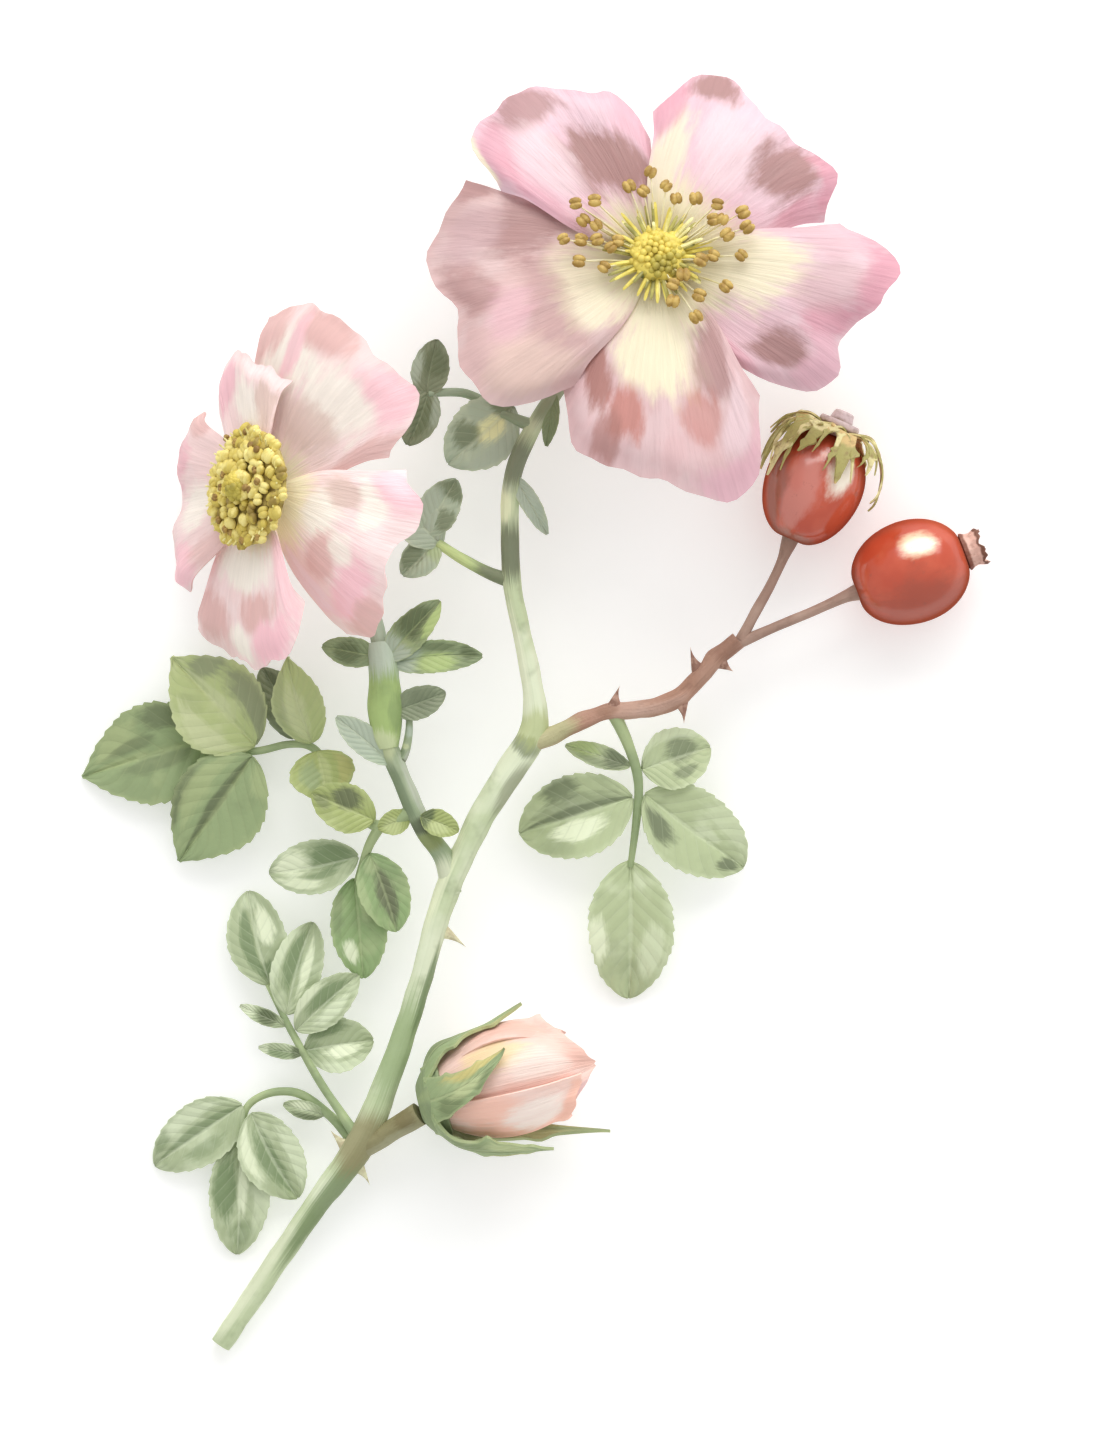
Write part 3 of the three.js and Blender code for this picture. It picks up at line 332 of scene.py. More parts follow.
# Patches on a stem, in the same order of numbers, with their tones as colours. They are partly
# the stem's own marks and partly painted light: pale painted highlights mostly on a stem's left
# side and painted shade mostly on its right.
STEM_PATCHES = {
    "main_stem": (
        ((0.88, 0.9, 0.78), 0.6, 0.05, 0.7, 0.05, 0.7),
        ((0.46, 0.54, 0.36), -0.45, 0.12, 0.95, 0.05, 0.85),
        ((0.6, 0.57, 0.42), 0.0, 0.158, 1.6, 0.022, 0.85),
        ((0.62, 0.7, 0.51), -0.1, 0.222, 1.5, 0.04, 0.85),
        ((0.46, 0.54, 0.38), -0.8, 0.26, 0.45, 0.03, 0.85),
        ((0.93, 0.95, 0.81), 0.8, 0.335, 0.6, 0.04, 0.8),
        ((0.5, 0.52, 0.4), -0.8, 0.421, 0.6, 0.03, 0.6),
        ((0.48, 0.52, 0.4), 0.1, 0.463, 1.2, 0.012, 0.8),
        ((0.7, 0.74, 0.5), 0.0, 0.49, 1.8, 0.03, 0.7),
        ((0.92, 0.94, 0.82), 0.7, 0.57, 0.6, 0.06, 0.7),
        ((0.48, 0.51, 0.41), -0.1, 0.668, 2.0, 0.03, 0.95),
        ((0.92, 0.94, 0.78), 0.5, 0.71, 1.0, 0.014, 0.9),
        ((0.5, 0.53, 0.44), 0.0, 0.75, 1.8, 0.027, 0.9),
        ((0.48, 0.52, 0.42), 0.0, 0.81, 1.8, 0.02, 0.7),
    ),
    "side_stem": (
        ((0.88, 0.9, 0.78), 0.2, 0.03, 1.2, 0.06, 0.8),
        ((0.56, 0.6, 0.38), 0.0, 0.14, 1.8, 0.03, 0.8),
        ((0.38, 0.41, 0.32), 0.0, 0.18, 1.8, 0.022, 0.9),
        ((0.48, 0.54, 0.42), 0.5, 0.28, 0.7, 0.1, 0.8),
        ((0.74, 0.76, 0.7), -0.8, 0.28, 0.5, 0.1, 0.7),
        ((0.78, 0.81, 0.63), 0.3, 0.42, 1.0, 0.05, 0.7),
        ((0.71, 0.76, 0.69), 0.0, 0.66, 2.0, 0.09, 0.8),
    ),
    "hip_branch": (
        ((0.74, 0.74, 0.56), 0.2, 0.08, 1.6, 0.14, 0.85),
        ((0.57, 0.42, 0.35), 0.0, 0.93, 1.8, 0.08, 0.7),
        ((0.6, 0.45, 0.37), 0.3, 0.35, 0.8, 0.05, 0.7),
        ((0.8, 0.67, 0.61), -0.3, 0.55, 0.6, 0.12, 0.5),
    ),
    "upper_stalk": (
        ((0.55, 0.6, 0.47), 0.0, 0.2, 1.6, 0.2, 0.6),
    ),
    "middle_stalk": (
        ((0.48, 0.51, 0.41), 0.0, 0.2, 1.8, 0.3, 0.9),
        ((0.8, 0.87, 0.6), 0.3, 0.74, 1.4, 0.26, 0.9),
    ),
    "sheath": (
        ((0.74, 0.79, 0.72), 0.0, 0.95, 2.0, 0.2, 0.95),
        ((0.8, 0.84, 0.66), 0.4, 0.1, 1.4, 0.2, 0.85),
        ((0.52, 0.6, 0.4), -0.7, 0.45, 0.5, 0.2, 0.6),
    ),
    "bud_stalk": (
        ((0.48, 0.44, 0.3), 0.2, 0.8, 1.2, 0.16, 0.7), ((0.7, 0.7, 0.58), -0.8, 0.5, 0.5, 0.5, 0.5),
    ),
}

# Tones of the petals.
TONES = {
    "mauve": (0.70, 0.53, 0.52), "brown": (0.70, 0.49, 0.46), "red": (0.80, 0.53, 0.49),
    "rose": (0.90, 0.64, 0.70), "blush": (0.94, 0.74, 0.79), "dusk": (0.84, 0.70, 0.71),
    "peach": (0.91, 0.79, 0.74), "cream": (0.99, 0.95, 0.82), "milk": (0.97, 0.94, 0.89),
    "pale": (0.97, 0.86, 0.88), "salmon": (0.88, 0.71, 0.69), "shell": (0.97, 0.77, 0.80),
    "clay": (0.86, 0.75, 0.71), "ember": (0.98, 0.77, 0.69), "coral": (0.94, 0.75, 0.69),
    "ivory": (0.98, 0.92, 0.88), "straw": (0.96, 0.86, 0.66),
}

# Petals: the shape (turn and half spread in degrees, edge distances from right to left, slopes
# at base and tip in degrees, tilt in degrees and step outwards), the reach of the cream at its
# base, the share of the dusky tone and the patches, in the same order of numbers as a leaf's.
# A flower's painted light is painted light and shade on each petal: a brightness beside its own
# colour, lower on petals that catch much light and higher on those that catch little.
LARGE_FLOWER = {
    "name": "large_flower",
    "centre": Vector((16.0, 57.8, 19.4)),
    "axis": Vector((0.02, 0.22, 0.975)),
    "shade": {"right": 0.83, "upper_right": 0.84, "upper_left": 0.82, "left": 0.86, "bottom": 0.86},
    "petals": {
        "right": (
            (-22, 34, (16, 23.5, 27.8, 25.8, 29.8, 31.0, 24.6), 16, -14, 5, 0), 0.32, 0.25,
            [("cream", 0.4, 0.35, 0.62, 0.26, 0.9), ("mauve", -0.43, 0.70, 0.27, 0.15, 0.95),
             ("rose", 0.05, 0.86, 0.2, 0.15, 0.8), ("rose", 0.5, 0.95, 0.34, 0.12, 0.9),
             ("blush", -0.33, 0.92, 0.3, 0.10, 0.8), ("dusk", 0.33, 0.74, 0.3, 0.16, 0.6),
             ("rose", -0.85, 0.75, 0.12, 0.3, 0.5)],
        ),
        "upper_right": (
            (54, 37, (23, 26.8, 25, 24.4, 27.2, 26.2, 20), 14, -22, 5, 0), 0.34, 0.0,
            [("cream", 0.78, 0.45, 0.3, 0.34, 0.8), ("pale", 0.1, 0.62, 0.4, 0.26, 0.7),
             ("mauve", 0.5, 0.92, 0.26, 0.10, 0.95), ("rose", 0.85, 0.9, 0.2, 0.2, 0.8),
             ("mauve", -0.47, 0.78, 0.36, 0.22, 0.95), ("rose", -0.7, 0.97, 0.24, 0.09, 0.8),
             ("rose", -0.9, 0.82, 0.15, 0.24, 0.7)],
        ),
        "upper_left": (
            (124, 31, (17, 23.5, 25.4, 30, 29.6, 30, 22), 14, -22, 5, 0), 0.22, 0.0,
            # The broad mauve patch across its middle is painted shade.
            [("mauve", 0.17, 0.90, 0.32, 0.13, 0.8), ("mauve", -0.30, 0.48, 0.72, 0.25, 1.0),
             ("rose", 0.67, 0.85, 0.26, 0.15, 0.7), ("rose", 0.83, 0.62, 0.25, 0.28, 0.6),
             ("cream", 0.8, 1.0, 0.16, 0.06, 0.8), ("blush", -0.8, 0.88, 0.28, 0.24, 0.9),
             ("pale", 0.4, 0.6, 0.3, 0.25, 0.7)],
        ),
        "left": (
            (196, 41, (26.8, 28.8, 29.4, 26.6, 29.2, 28, 20), 14, -16, 5, 0), 0.24, 1.0,
            [("cream", 0.17, 0.3, 0.8, 0.16, 0.8), ("mauve", -0.72, 0.57, 0.36, 0.2, 0.8),
             ("mauve", 0.23, 0.50, 0.62, 0.14, 0.45), ("mauve", -0.97, 0.95, 0.14, 0.12, 0.8),
             ("mauve", -0.17, 0.85, 0.24, 0.14, 0.7), ("dusk", -0.63, 0.82, 0.24, 0.15, 0.7),
             ("peach", 0.63, 0.76, 0.3, 0.22, 0.8), ("blush", 0.1, 0.7, 0.25, 0.14, 0.5)],
        ),
        "bottom": (
            (270, 36, (20.6, 26.3, 28.2, 29, 32.4, 31.4, 22), 14, -12, 5, 0), 0.3, 0.75,
            [("cream", -0.07, 0.38, 0.62, 0.22, 0.95), ("brown", -0.73, 0.62, 0.28, 0.17, 0.95),
             ("red", -0.30, 0.72, 0.2, 0.15, 0.9), ("brown", -0.43, 0.87, 0.15, 0.15, 0.7),
             ("mauve", 0.67, 0.45, 0.32, 0.18, 0.8), ("red", 0.40, 0.64, 0.2, 0.13, 0.65),
             ("pale", 0.70, 0.78, 0.2, 0.13, 0.7), ("blush", 0.55, 0.95, 0.3, 0.10, 0.8)],
        ),
    },
    "sepal_turn": 24,
    "sepal_path": ((1, -1.5), (4, -1.4), (9, -2.2), (15, -4.6)),
}
SIDE_FLOWER = {
    "name": "side_flower",
    "centre": Vector((-34.1, 28.6, 18.5)),
    "axis": Vector((-0.78, 0.08, 0.62)),
    # Painted light and shade on each petal, as on the large flower; the lower right petal is lifted
    # most.
    "shade": {
        "top_right": 0.9, "upper_left": 0.98, "left": 0.97, "bottom": 1.0, "lower_right": 1.13,
    },
    "petals": {
        "top_right": (
            (62, 47, (16, 21.2, 22.2, 22.5, 24.9, 26.0, 26.4), -6, -30, 15, 0), 0.14, 0.0,
            [("milk", 0.6, 0.6, 0.4, 0.3, 0.9), ("milk", -0.2, 0.6, 0.5, 0.24, 0.8),
             ("salmon", 0.92, 0.85, 0.28, 0.2, 0.9), ("salmon", 0.28, 0.9, 0.3, 0.14, 1.0),
             ("shell", 0.5, 0.7, 0.1, 0.25, 0.8), ("shell", -0.5, 0.88, 0.34, 0.14, 0.9),
             ("clay", -0.1, 0.34, 0.6, 0.16, 0.8), ("salmon", -0.92, 0.75, 0.16, 0.36, 0.9)],
        ),
        "upper_left": (
            (104, 26, (14.5, 15.6, 16.6, 18.4, 20.2, 18.6, 12), 12, -12, 3, 1.2), 0.0, 0.0,
            [("milk", -0.27, 0.57, 0.6, 0.24, 0.8), ("rose", 0.50, 0.75, 0.35, 0.2, 0.6),
             # The clay patch on its right side is painted shadow, where the top right petal lies over
             # it.
             ("clay", -0.75, 0.64, 0.3, 0.26, 0.9)],
        ),
        "left": (
            (183, 40, (18.6, 18.6, 19, 19.2, 19.6, 19.8, 18.6), 16, -8, 3, 0), 0.16, 0.15,
            [("milk", 0.10, 0.6, 0.34, 0.22, 0.8), ("rose", -0.43, 0.92, 0.32, 0.16, 0.55),
             ("salmon", -0.93, 0.87, 0.16, 0.2, 0.8), ("shell", 0.73, 0.88, 0.3, 0.2, 0.9),
             ("salmon", 0.85, 0.5, 0.25, 0.25, 0.6)],
        ),
        "bottom": (
            (259, 35, (24.2, 24, 22.8, 23, 22.8, 21.8, 16.5), 6, -16, 3, 0.6), 0.26, 0.0,
            [("milk", -0.13, 0.38, 0.9, 0.16, 0.9), ("salmon", -0.75, 0.80, 0.34, 0.18, 0.9),
             ("salmon", 0.27, 0.66, 0.45, 0.14, 0.95), ("milk", -0.1, 0.86, 0.3, 0.12, 0.9),
             ("shell", 0.5, 0.88, 0.36, 0.15, 1.0), ("shell", 0.9, 0.6, 0.15, 0.4, 0.7)],
        ),
        "lower_right": (
            (324, 44, (20, 22.2, 22.4, 20.8, 20, 20.6, 21.6, 19), -10, -42, 3, 0), 0.26, 0.0,
            [("milk", 0.25, 0.36, 0.5, 0.18, 0.9), ("clay", 0.68, 0.50, 0.25, 0.16, 0.9),
             ("milk", 0.62, 0.72, 0.3, 0.12, 0.8), ("shell", 0.78, 0.91, 0.24, 0.16, 0.9),
             ("salmon", -0.3, 0.47, 0.4, 0.15, 0.9), ("shell", -0.4, 0.78, 0.5, 0.16, 0.95),
             ("milk", -0.03, 0.62, 0.2, 0.12, 0.75), ("salmon", -0.55, 0.94, 0.3, 0.11, 0.9),
             ("pale", -0.85, 0.5, 0.2, 0.3, 0.8)],
        ),
    },
    "sepal_turn": 0,
    "sepal_path": ((1, -1.8), (3.6, -3.0), (6.2, -6.4), (8.6, -11.4)),
}

# Anthers of the large flower: turn in degrees and distance from its middle.
ANTHER_PLACES = (
    (15, 9.2), (16, 11.9), (27, 12.3), (28, 9.4), (32, 8.4), (40, 10), (56, 8.8), (72, 7.7), (83, 8.9),
    (95, 10.6), (103, 8.2), (113, 9.4), (139, 10.7), (149, 12.3), (155, 8.7), (155, 10.5), (161, 5.4),
    (167, 8), (170, 10), (172, 6.1), (172, 12.2), (187, 10.2), (194, 7.1), (286, 6.8), (294, 4.7),
    (300, 9.7), (314, 7.6), (317, 4.4), (334, 9.7), (349, 5.6), (357, 7.1), (359, 10.7),
)

# Bud: base, axis and outline, as heights above the base and radii.
BUD_BASE = Vector((-14.2, -50.5, 7.9))
BUD_AXIS = Vector((0.974, 0.228, 0.0))
BUD_OUTLINE = ((2, 4.2), (5, 6.1), (9, 7.4), (13, 7.7), (17, 7.0), (20.5, 4.9), (22.6, 2.2))
# Petals of the bud: turn in degrees, swell, heights of the edge from its outer end on, painted
# light and the patches. The painted light is a brightness laid on each petal as painted light and
# shade; it lifts the lower petal, which catches less light.
BUD_PETALS = (
    (75, 1.25, (16.5, 18.5, 19.4, 19.9, 19.0), 0.97,
     [("ivory", 0.2, 0.6, 0.5, 0.3, 0.3), ("clay", 0.9, 0.6, 0.2, 0.4, 0.6),
      ("coral", -0.6, 0.66, 0.5, 0.4, 0.8), ("ember", -0.2, 0.3, 0.5, 0.2, 0.5)]),
    (180, 0.0, (17.4, 20.6, 22.7, 22.4, 19.6), 0.99,
     [("coral", 0.75, 0.72, 0.22, 0.3, 0.8), ("straw", 0.35, 0.42, 0.3, 0.24, 0.8),
      ("ivory", 0.05, 0.66, 0.3, 0.2, 0.6), ("coral", 0.05, 0.95, 0.4, 0.10, 0.8),
      ("shell", -0.75, 0.7, 0.2, 0.4, 0.5), ("coral", -0.35, 0.55, 0.16, 0.34, 0.7)]),
    (270, 0.2, (21.0, 19.4, 17.9, 18.4, 17.6), 1.08,
     [("ember", 0.12, 0.6, 0.5, 0.6, 0.9), ("ember", 0.75, 0.3, 0.3, 0.3, 0.7),
      ("ivory", 0.55, 0.68, 0.32, 0.26, 0.9), ("ember", 0.3, 0.97, 0.8, 0.08, 0.9)]),
)
# Sepals of the bud: turn, sideways drift to the tip in degrees, width, lobes and path.
BUD_SEPALS = (
    (114, -4, 6.4, 0.35, ((3.4, 0.7), (6.4, 3.2), (7.6, 7.2), (8.2, 10.8), (9.7, 15.4))),
    (192, -32, 6.4, 0.12, ((3.4, 0.7), (6.6, 3.2), (8.0, 6.4), (8.4, 9.2), (8.4, 12.0))),
    (262, 6, 7.0, 0.5, ((3.4, 0.7), (6.7, 3.2), (8.4, 7.4), (9.2, 11.2), (9.9, 15.2))),
    (334, -40, 5.6, 0.4, ((3.4, 0.7), (6.6, 3.4), (8.1, 9.0), (8.6, 16.0), (9.3, 22.8))),
    (46, 0, 6.0, 0.3, ((3.4, 0.7), (6.2, 3.4), (7.4, 6.6), (7.8, 9.4), (7.9, 11.8))),
)

# Patches of the bud's sepals, in turn.
BUD_SEPAL_PATCHES = (
    (("warm", 0.9, 0.72, 0.3, 0.3, 0.4), ("dark", -0.4, 0.3, 0.6, 0.2, 0.5),
     ("light", -0.5, 0.65, 0.5, 0.2, 0.8), ("dark", 0.1, 0.45, 0.16, 0.3, 0.5)),
    (("dark", 0.5, 0.3, 0.5, 0.16, 0.7), ("light", 0.2, 0.5, 0.4, 0.2, 0.8),
     ("warm", -0.7, 0.7, 0.4, 0.45, 1.0), ("dark", 0.6, 0.7, 0.4, 0.14, 0.5)),
)

# Hips: base, axis, length, greatest radius and taper towards the base.
UPPER_HIP = (Vector((33.2, 22.1, 6.75)), Vector((0.4, 0.916, 0.0)), 15.2, 6.4, 0.12)
LOWER_HIP = (Vector((41.7, 15.45, 6.85)), Vector((0.937, 0.349, 0.0)), 15.4, 6.7, 0.03)
# Dried sepals on the upper hip: turn, drift in degrees, width and path from the hip's top.
DRY_SEPALS = (
    (336, 0, 2.3, ((1.5, 0.3), (4.4, 1.0), (6.4, -0.9), (7.7, -3.1), (8.2, -6.1), (7.8, -7.6))),
    (312, -12, 2.6, ((1.5, 0.4), (4.2, 0.5), (6.2, -1.2), (7.0, -3.6))),
    (262, 4, 3.8, ((1.5, 0.4), (4.0, 0.3), (6.0, -1.4), (6.9, -4.0), (7.1, -6.2))),
    (228, -14, 3.6, ((1.5, 0.4), (4.2, 0.4), (6.2, -1.4), (7.0, -4.2))),
    (196, -6, 3.8, ((1.5, 0.4), (4.1, 0.4), (6.2, -1.5), (7.2, -5.0), (7.3, -8.6))),
    (166, 8, 3.6, ((1.5, 0.3), (4.0, 0.4), (6.2, -1.0), (7.4, -4.4), (7.5, -8.2))),
    (150, -6, 2.6, ((1.5, 0.3), (4.4, 0.9), (6.6, -0.4), (8.0, -3.2))),
    (90, 0, 3.0, ((1.5, 0.3), (4.0, 0.2), (5.5, -1.8), (6.35, -4.4))),
    (30, 0, 3.0, ((1.5, 0.3), (4.0, 0.2), (6.0, -1.8), (7.0, -5.0))),
)

# The camera looks straight down from over the middle of the view.
VIEW_MIDDLE = (2.86, 0.55)  # mm
VIEW_HEIGHT = 186.55  # mm of the surface, from the bottom of the view to its top
SENSOR = 36.0
SOFTBOX_PLACE = (0.141, 0.664, 0.424)  # m
SOFTBOX_SIZE = (1.0, 0.58)  # m
SOFTBOX_LEAN = 20.0  # degrees
SHINE_SHARE = 0.74  # size of the shine beside the key light's
SHINE_COLOUR = (1.0, 0.95, 0.82)
FLOOR_SIZE = 60  # m, so that its edge stays far away in a low view


# ------------------------------------------------------------------ shaping
def smooth(low, high, value):
    share = min(max((value - low) / (high - low), 0.0), 1.0)
    return share * share * (3 - 2 * share)


def mixed(start, end, share):
    return start + (end - start) * share


def through(values, share):
    """A smooth curve through values at even steps."""
    place = min(max(share, 0.0), 1.0) * (len(values) - 1)
    index = min(int(place), len(values) - 2)
    t = place - index
    start, end = values[index], values[index + 1]
    before, after = values[max(index - 1, 0)], values[min(index + 2, len(values) - 1)]
    straight = (end - before) * t
    bowed = (before * 2 - start * 5 + end * 4 - after) * (t * t)
    turned = (start * 3 - before - end * 3 + after) * (t * t * t)
    return (start * 2 + straight + bowed + turned) * 0.5


def stem_frames(route, steps):
    """Centre, direction, left and upper side at even steps, without twist."""
    centres = [Vector(point[:3]) for point in route]
    frames = []
    left = None
    for step in range(steps + 1):
        share = step / steps
        ahead = through(centres, share + 0.002) - through(centres, share - 0.002)
        direction = ahead.normalized()
        left = left or UP.cross(direction)
        left = (left - direction * left.dot(direction)).normalized()
        frames.append((through(centres, share), direction, left, direction.cross(left)))
    return frames


def standing(base, axis):
    """Turns +Z to the axis and moves the origin to the base."""
    turn = UP.rotation_difference(axis.normalized())
    return Matrix.Translation(base) @ turn.to_matrix().to_4x4()


def turned(degrees):
    return Matrix.Rotation(math.radians(degrees), 4, "Z")


def full_turn(u):
    """The angle at u round a rolled grid, the same at both sides of its seam."""
    return 2 * math.pi * (u % 1.0)


def around_axis(radius, angle, height):
    return Vector((radius * math.cos(angle), radius * math.sin(angle), height))


def path_side(points, v):
    """The side of a path in the XZ plane that its upper face looks to."""
    ahead = through(points, v + 0.01) - through(points, v - 0.01)
    return Vector((-ahead.z, 0, ahead.x)).normalized()


def surface(name, across, along, place, where=None):
    """A grid primitive whose corners go to place(u, v), u across it and v along it, in mm."""
    bpy.ops.object.select_all(action="DESELECT")
    bpy.ops.mesh.primitive_grid_add(x_subdivisions=across, y_subdivisions=along, size=1)
    piece = bpy.context.active_object
    piece.name = name
    piece.data.uv_layers[0].name = SURFACE_MAP
    last = IN_FRAME @ where if where else IN_FRAME
    for corner in piece.data.vertices:
        corner.co = last @ place(round(corner.co.x + 0.5, 5), round(corner.co.y + 0.5, 5))
    return piece


def rolled(name, look, around, along, place, where=None, weld=0.002 * MM):
    """A grid rolled into a body, with its seam and poles welded and its ends filled."""
    piece = surface(name, around, along, place, where)
    bpy.ops.object.mode_set(mode="EDIT")
    bpy.ops.mesh.select_all(action="SELECT")
    bpy.ops.mesh.remove_doubles(threshold=weld)
    bpy.ops.mesh.fill_holes(sides=0)
    bpy.ops.mesh.normals_make_consistent(inside=False)
    bpy.ops.object.mode_set(mode="OBJECT")
    return painted(piece, look)


def lathe(name, look, grid, outline, where, lift=0.0, waves=0, wave_height=0.0):
    """A rolled piece whose radii and heights follow an outline, perhaps with waves round it."""
    radii, heights = outline

    def place(u, v):
        angle = full_turn(u)
        radius = through(radii, v) * (1 + wave_height * math.sin(waves * angle))
        return around_axis(radius, angle, lift + through(heights, v))

    return rolled(name, look, *grid, place, where)


def thicken(piece, thickness):
    """Gives a sheet its thickness, half to each side."""
    solidify = piece.modifiers.new("thickness", "SOLIDIFY")
    solidify.thickness = thickness * MM
    solidify.offset = 0.0
    bpy.ops.object.modifier_apply(modifier=solidify.name)
    return piece


def selected_alone(*pieces):
    """Selects these pieces and nothing else, with the first one active."""
    bpy.ops.object.select_all(action="DESELECT")
    for piece in pieces:
        piece.select_set(True)
    bpy.context.view_layer.objects.active = pieces[0]


def joined(name, pieces):
    selected_alone(*pieces)
    if len(pieces) > 1:
        bpy.ops.object.join()
    pieces[0].name = name
    return pieces[0]


def painted(piece, look):
    piece.data.materials.append(materials()[look])
    return piece


def copied(master, where):
    """A copy of a master piece with its own mesh, put in its place."""
    copy = master.copy()
    copy.data = master.data.copy()
    bpy.context.scene.collection.objects.link(copy)
    copy.data.transform(IN_FRAME @ where)
    return copy


def discard(*masters):
    for master in masters:
        bpy.data.objects.remove(master)


def settle(piece, node):
    """Puts a finished piece in the frame in place of its CAD node."""
    selected_alone(piece)
    bpy.ops.object.shade_smooth_by_angle(angle=math.radians(SMOOTH_ANGLE))
    piece.data.name = piece.name
    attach(piece, "root")
    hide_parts(node)


# ------------------------------------------------------------------ shader groups and materials
def tint(red, green, blue):
    """A colour as it looks on a screen, for a shader socket."""
    linear = [
        part / 12.92 if part <= 0.04045 else ((part + 0.055) / 1.055) ** 2.4
        for part in (red, green, blue)
    ]
    return (*linear, 1.0)


class Web:
    """Adds nodes to one node tree and links them."""

    def __init__(self, tree):
        self.tree = tree

    def add(self, kind, sockets=None, **settings):
        made = self.tree.nodes.new(kind)
        for name, value in settings.items():
            setattr(made, name, value)
        for socket, source in (sockets or {}).items():
            self.feed(made.inputs[socket], source)
        return made

    def feed(self, socket, source):
        if isinstance(source, bpy.types.NodeSocket):
            self.tree.links.new(source, socket)
        else:
            socket.default_value = source

    def calc(self, operation, *values):
        return self.add("ShaderNodeMath", dict(enumerate(values)), operation=operation).outputs[0]

    def times(self, value, factor):
        return self.calc("MULTIPLY", value, factor)

    def scaled(self, value, factor, offset):
        return self.calc("MULTIPLY_ADD", value, factor, offset)

    def vector(self, operation, *values):
        made = self.add("ShaderNodeVectorMath", dict(enumerate(values)), operation=operation)
        return made.outputs["Value" if operation == "LENGTH" else "Vector"]

    def mix(self, share, first, second, blend="MIX"):
        sockets = {0: share, 6: first, 7: second}
        made = self.add("ShaderNodeMix", sockets, data_type="RGBA", blend_type=blend)
        return made.outputs[2]

    def ease(self, value, low, high, start=0.0, end=1.0):
        sockets = {
            "Value": value, "From Min": low, "From Max": high, "To Min": start, "To Max": end,
        }
        made = self.add("ShaderNodeMapRange", sockets, interpolation_type="SMOOTHSTEP")
        return made.outputs["Result"]

    def noise(self, place, scale, detail=3.0, roughness=0.55):
        sockets = {"Vector": place, "Scale": scale, "Detail": detail, "Roughness": roughness}
        return self.add("ShaderNodeTexNoise", sockets).outputs["Fac"]

    def spread(self):
        """The piece's own map, across and along it."""
        return self.add("ShaderNodeUVMap", uv_map=SURFACE_MAP).outputs["UV"]

    def parts(self, vector):
        return self.add("ShaderNodeSeparateXYZ", {0: vector}).outputs

    def sides(self, spread):
        """The map of a round piece, from its left over its top to its right, and along it."""
        parts = self.parts(spread)
        turn = self.calc("COSINE", self.times(parts["X"], 2 * math.pi))
        aside = self.scaled(turn, -0.5, 0.5)
        return self.add("ShaderNodeCombineXYZ", {"X": aside, "Y": parts["Y"]}).outputs[0]

    def from_middle(self, spread):
        """How far out a point lies, from 0 on the middle line to 1 at either edge."""
        return self.calc("ABSOLUTE", self.scaled(self.parts(spread)["X"], -2.0, 1.0))

    def place(self):
        return self.add("ShaderNodeTexCoord").outputs["Object"]

    def group(self, name, sockets):
        made = self.add("ShaderNodeGroup", node_tree=bpy.data.node_groups[name])
        for socket, source in sockets.items():
            self.feed(made.inputs[socket], source)
        return made.outputs

    def mottling(self, place, scale, low, high):
        sockets = {"Place": place, "Scale": scale, "Low": low, "High": high}
        return self.group("mottling", sockets)["Mask"]

    def streaks(self, spread, fineness):
        return self.group("silk_streaks", {"Map": spread, "Fineness": fineness})["Streak"]

    def laid(self, colour, spread, patches):
        """Lays soft patches over a colour."""
        for tone, across, along, wide, long, strength in patches:
            sockets = {
                "Map": spread, "Centre": ((1 - across) / 2, along, 0),
                "Reach": (wide / 2, long, 1.0), "Strength": strength,
            }
            colour = self.mix(self.group("soft_patch", sockets)["Mask"], colour, tint(*tone))
        return colour


def effect(name, inputs, outputs):
    """A new shader group with its ends, and a web to fill it."""
    tree = bpy.data.node_groups.new(name, "ShaderNodeTree")
    for label, value in inputs:
        kind = "NodeSocketVector" if isinstance(value, tuple) else "NodeSocketFloat"
        socket = tree.interface.new_socket(name=label, in_out="INPUT", socket_type=kind)
        socket.default_value = value
    for label in outputs:
        tree.interface.new_socket(name=label, in_out="OUTPUT", socket_type="NodeSocketFloat")
    web = Web(tree)
    return web, web.add("NodeGroupInput").outputs, web.add("NodeGroupOutput").inputs


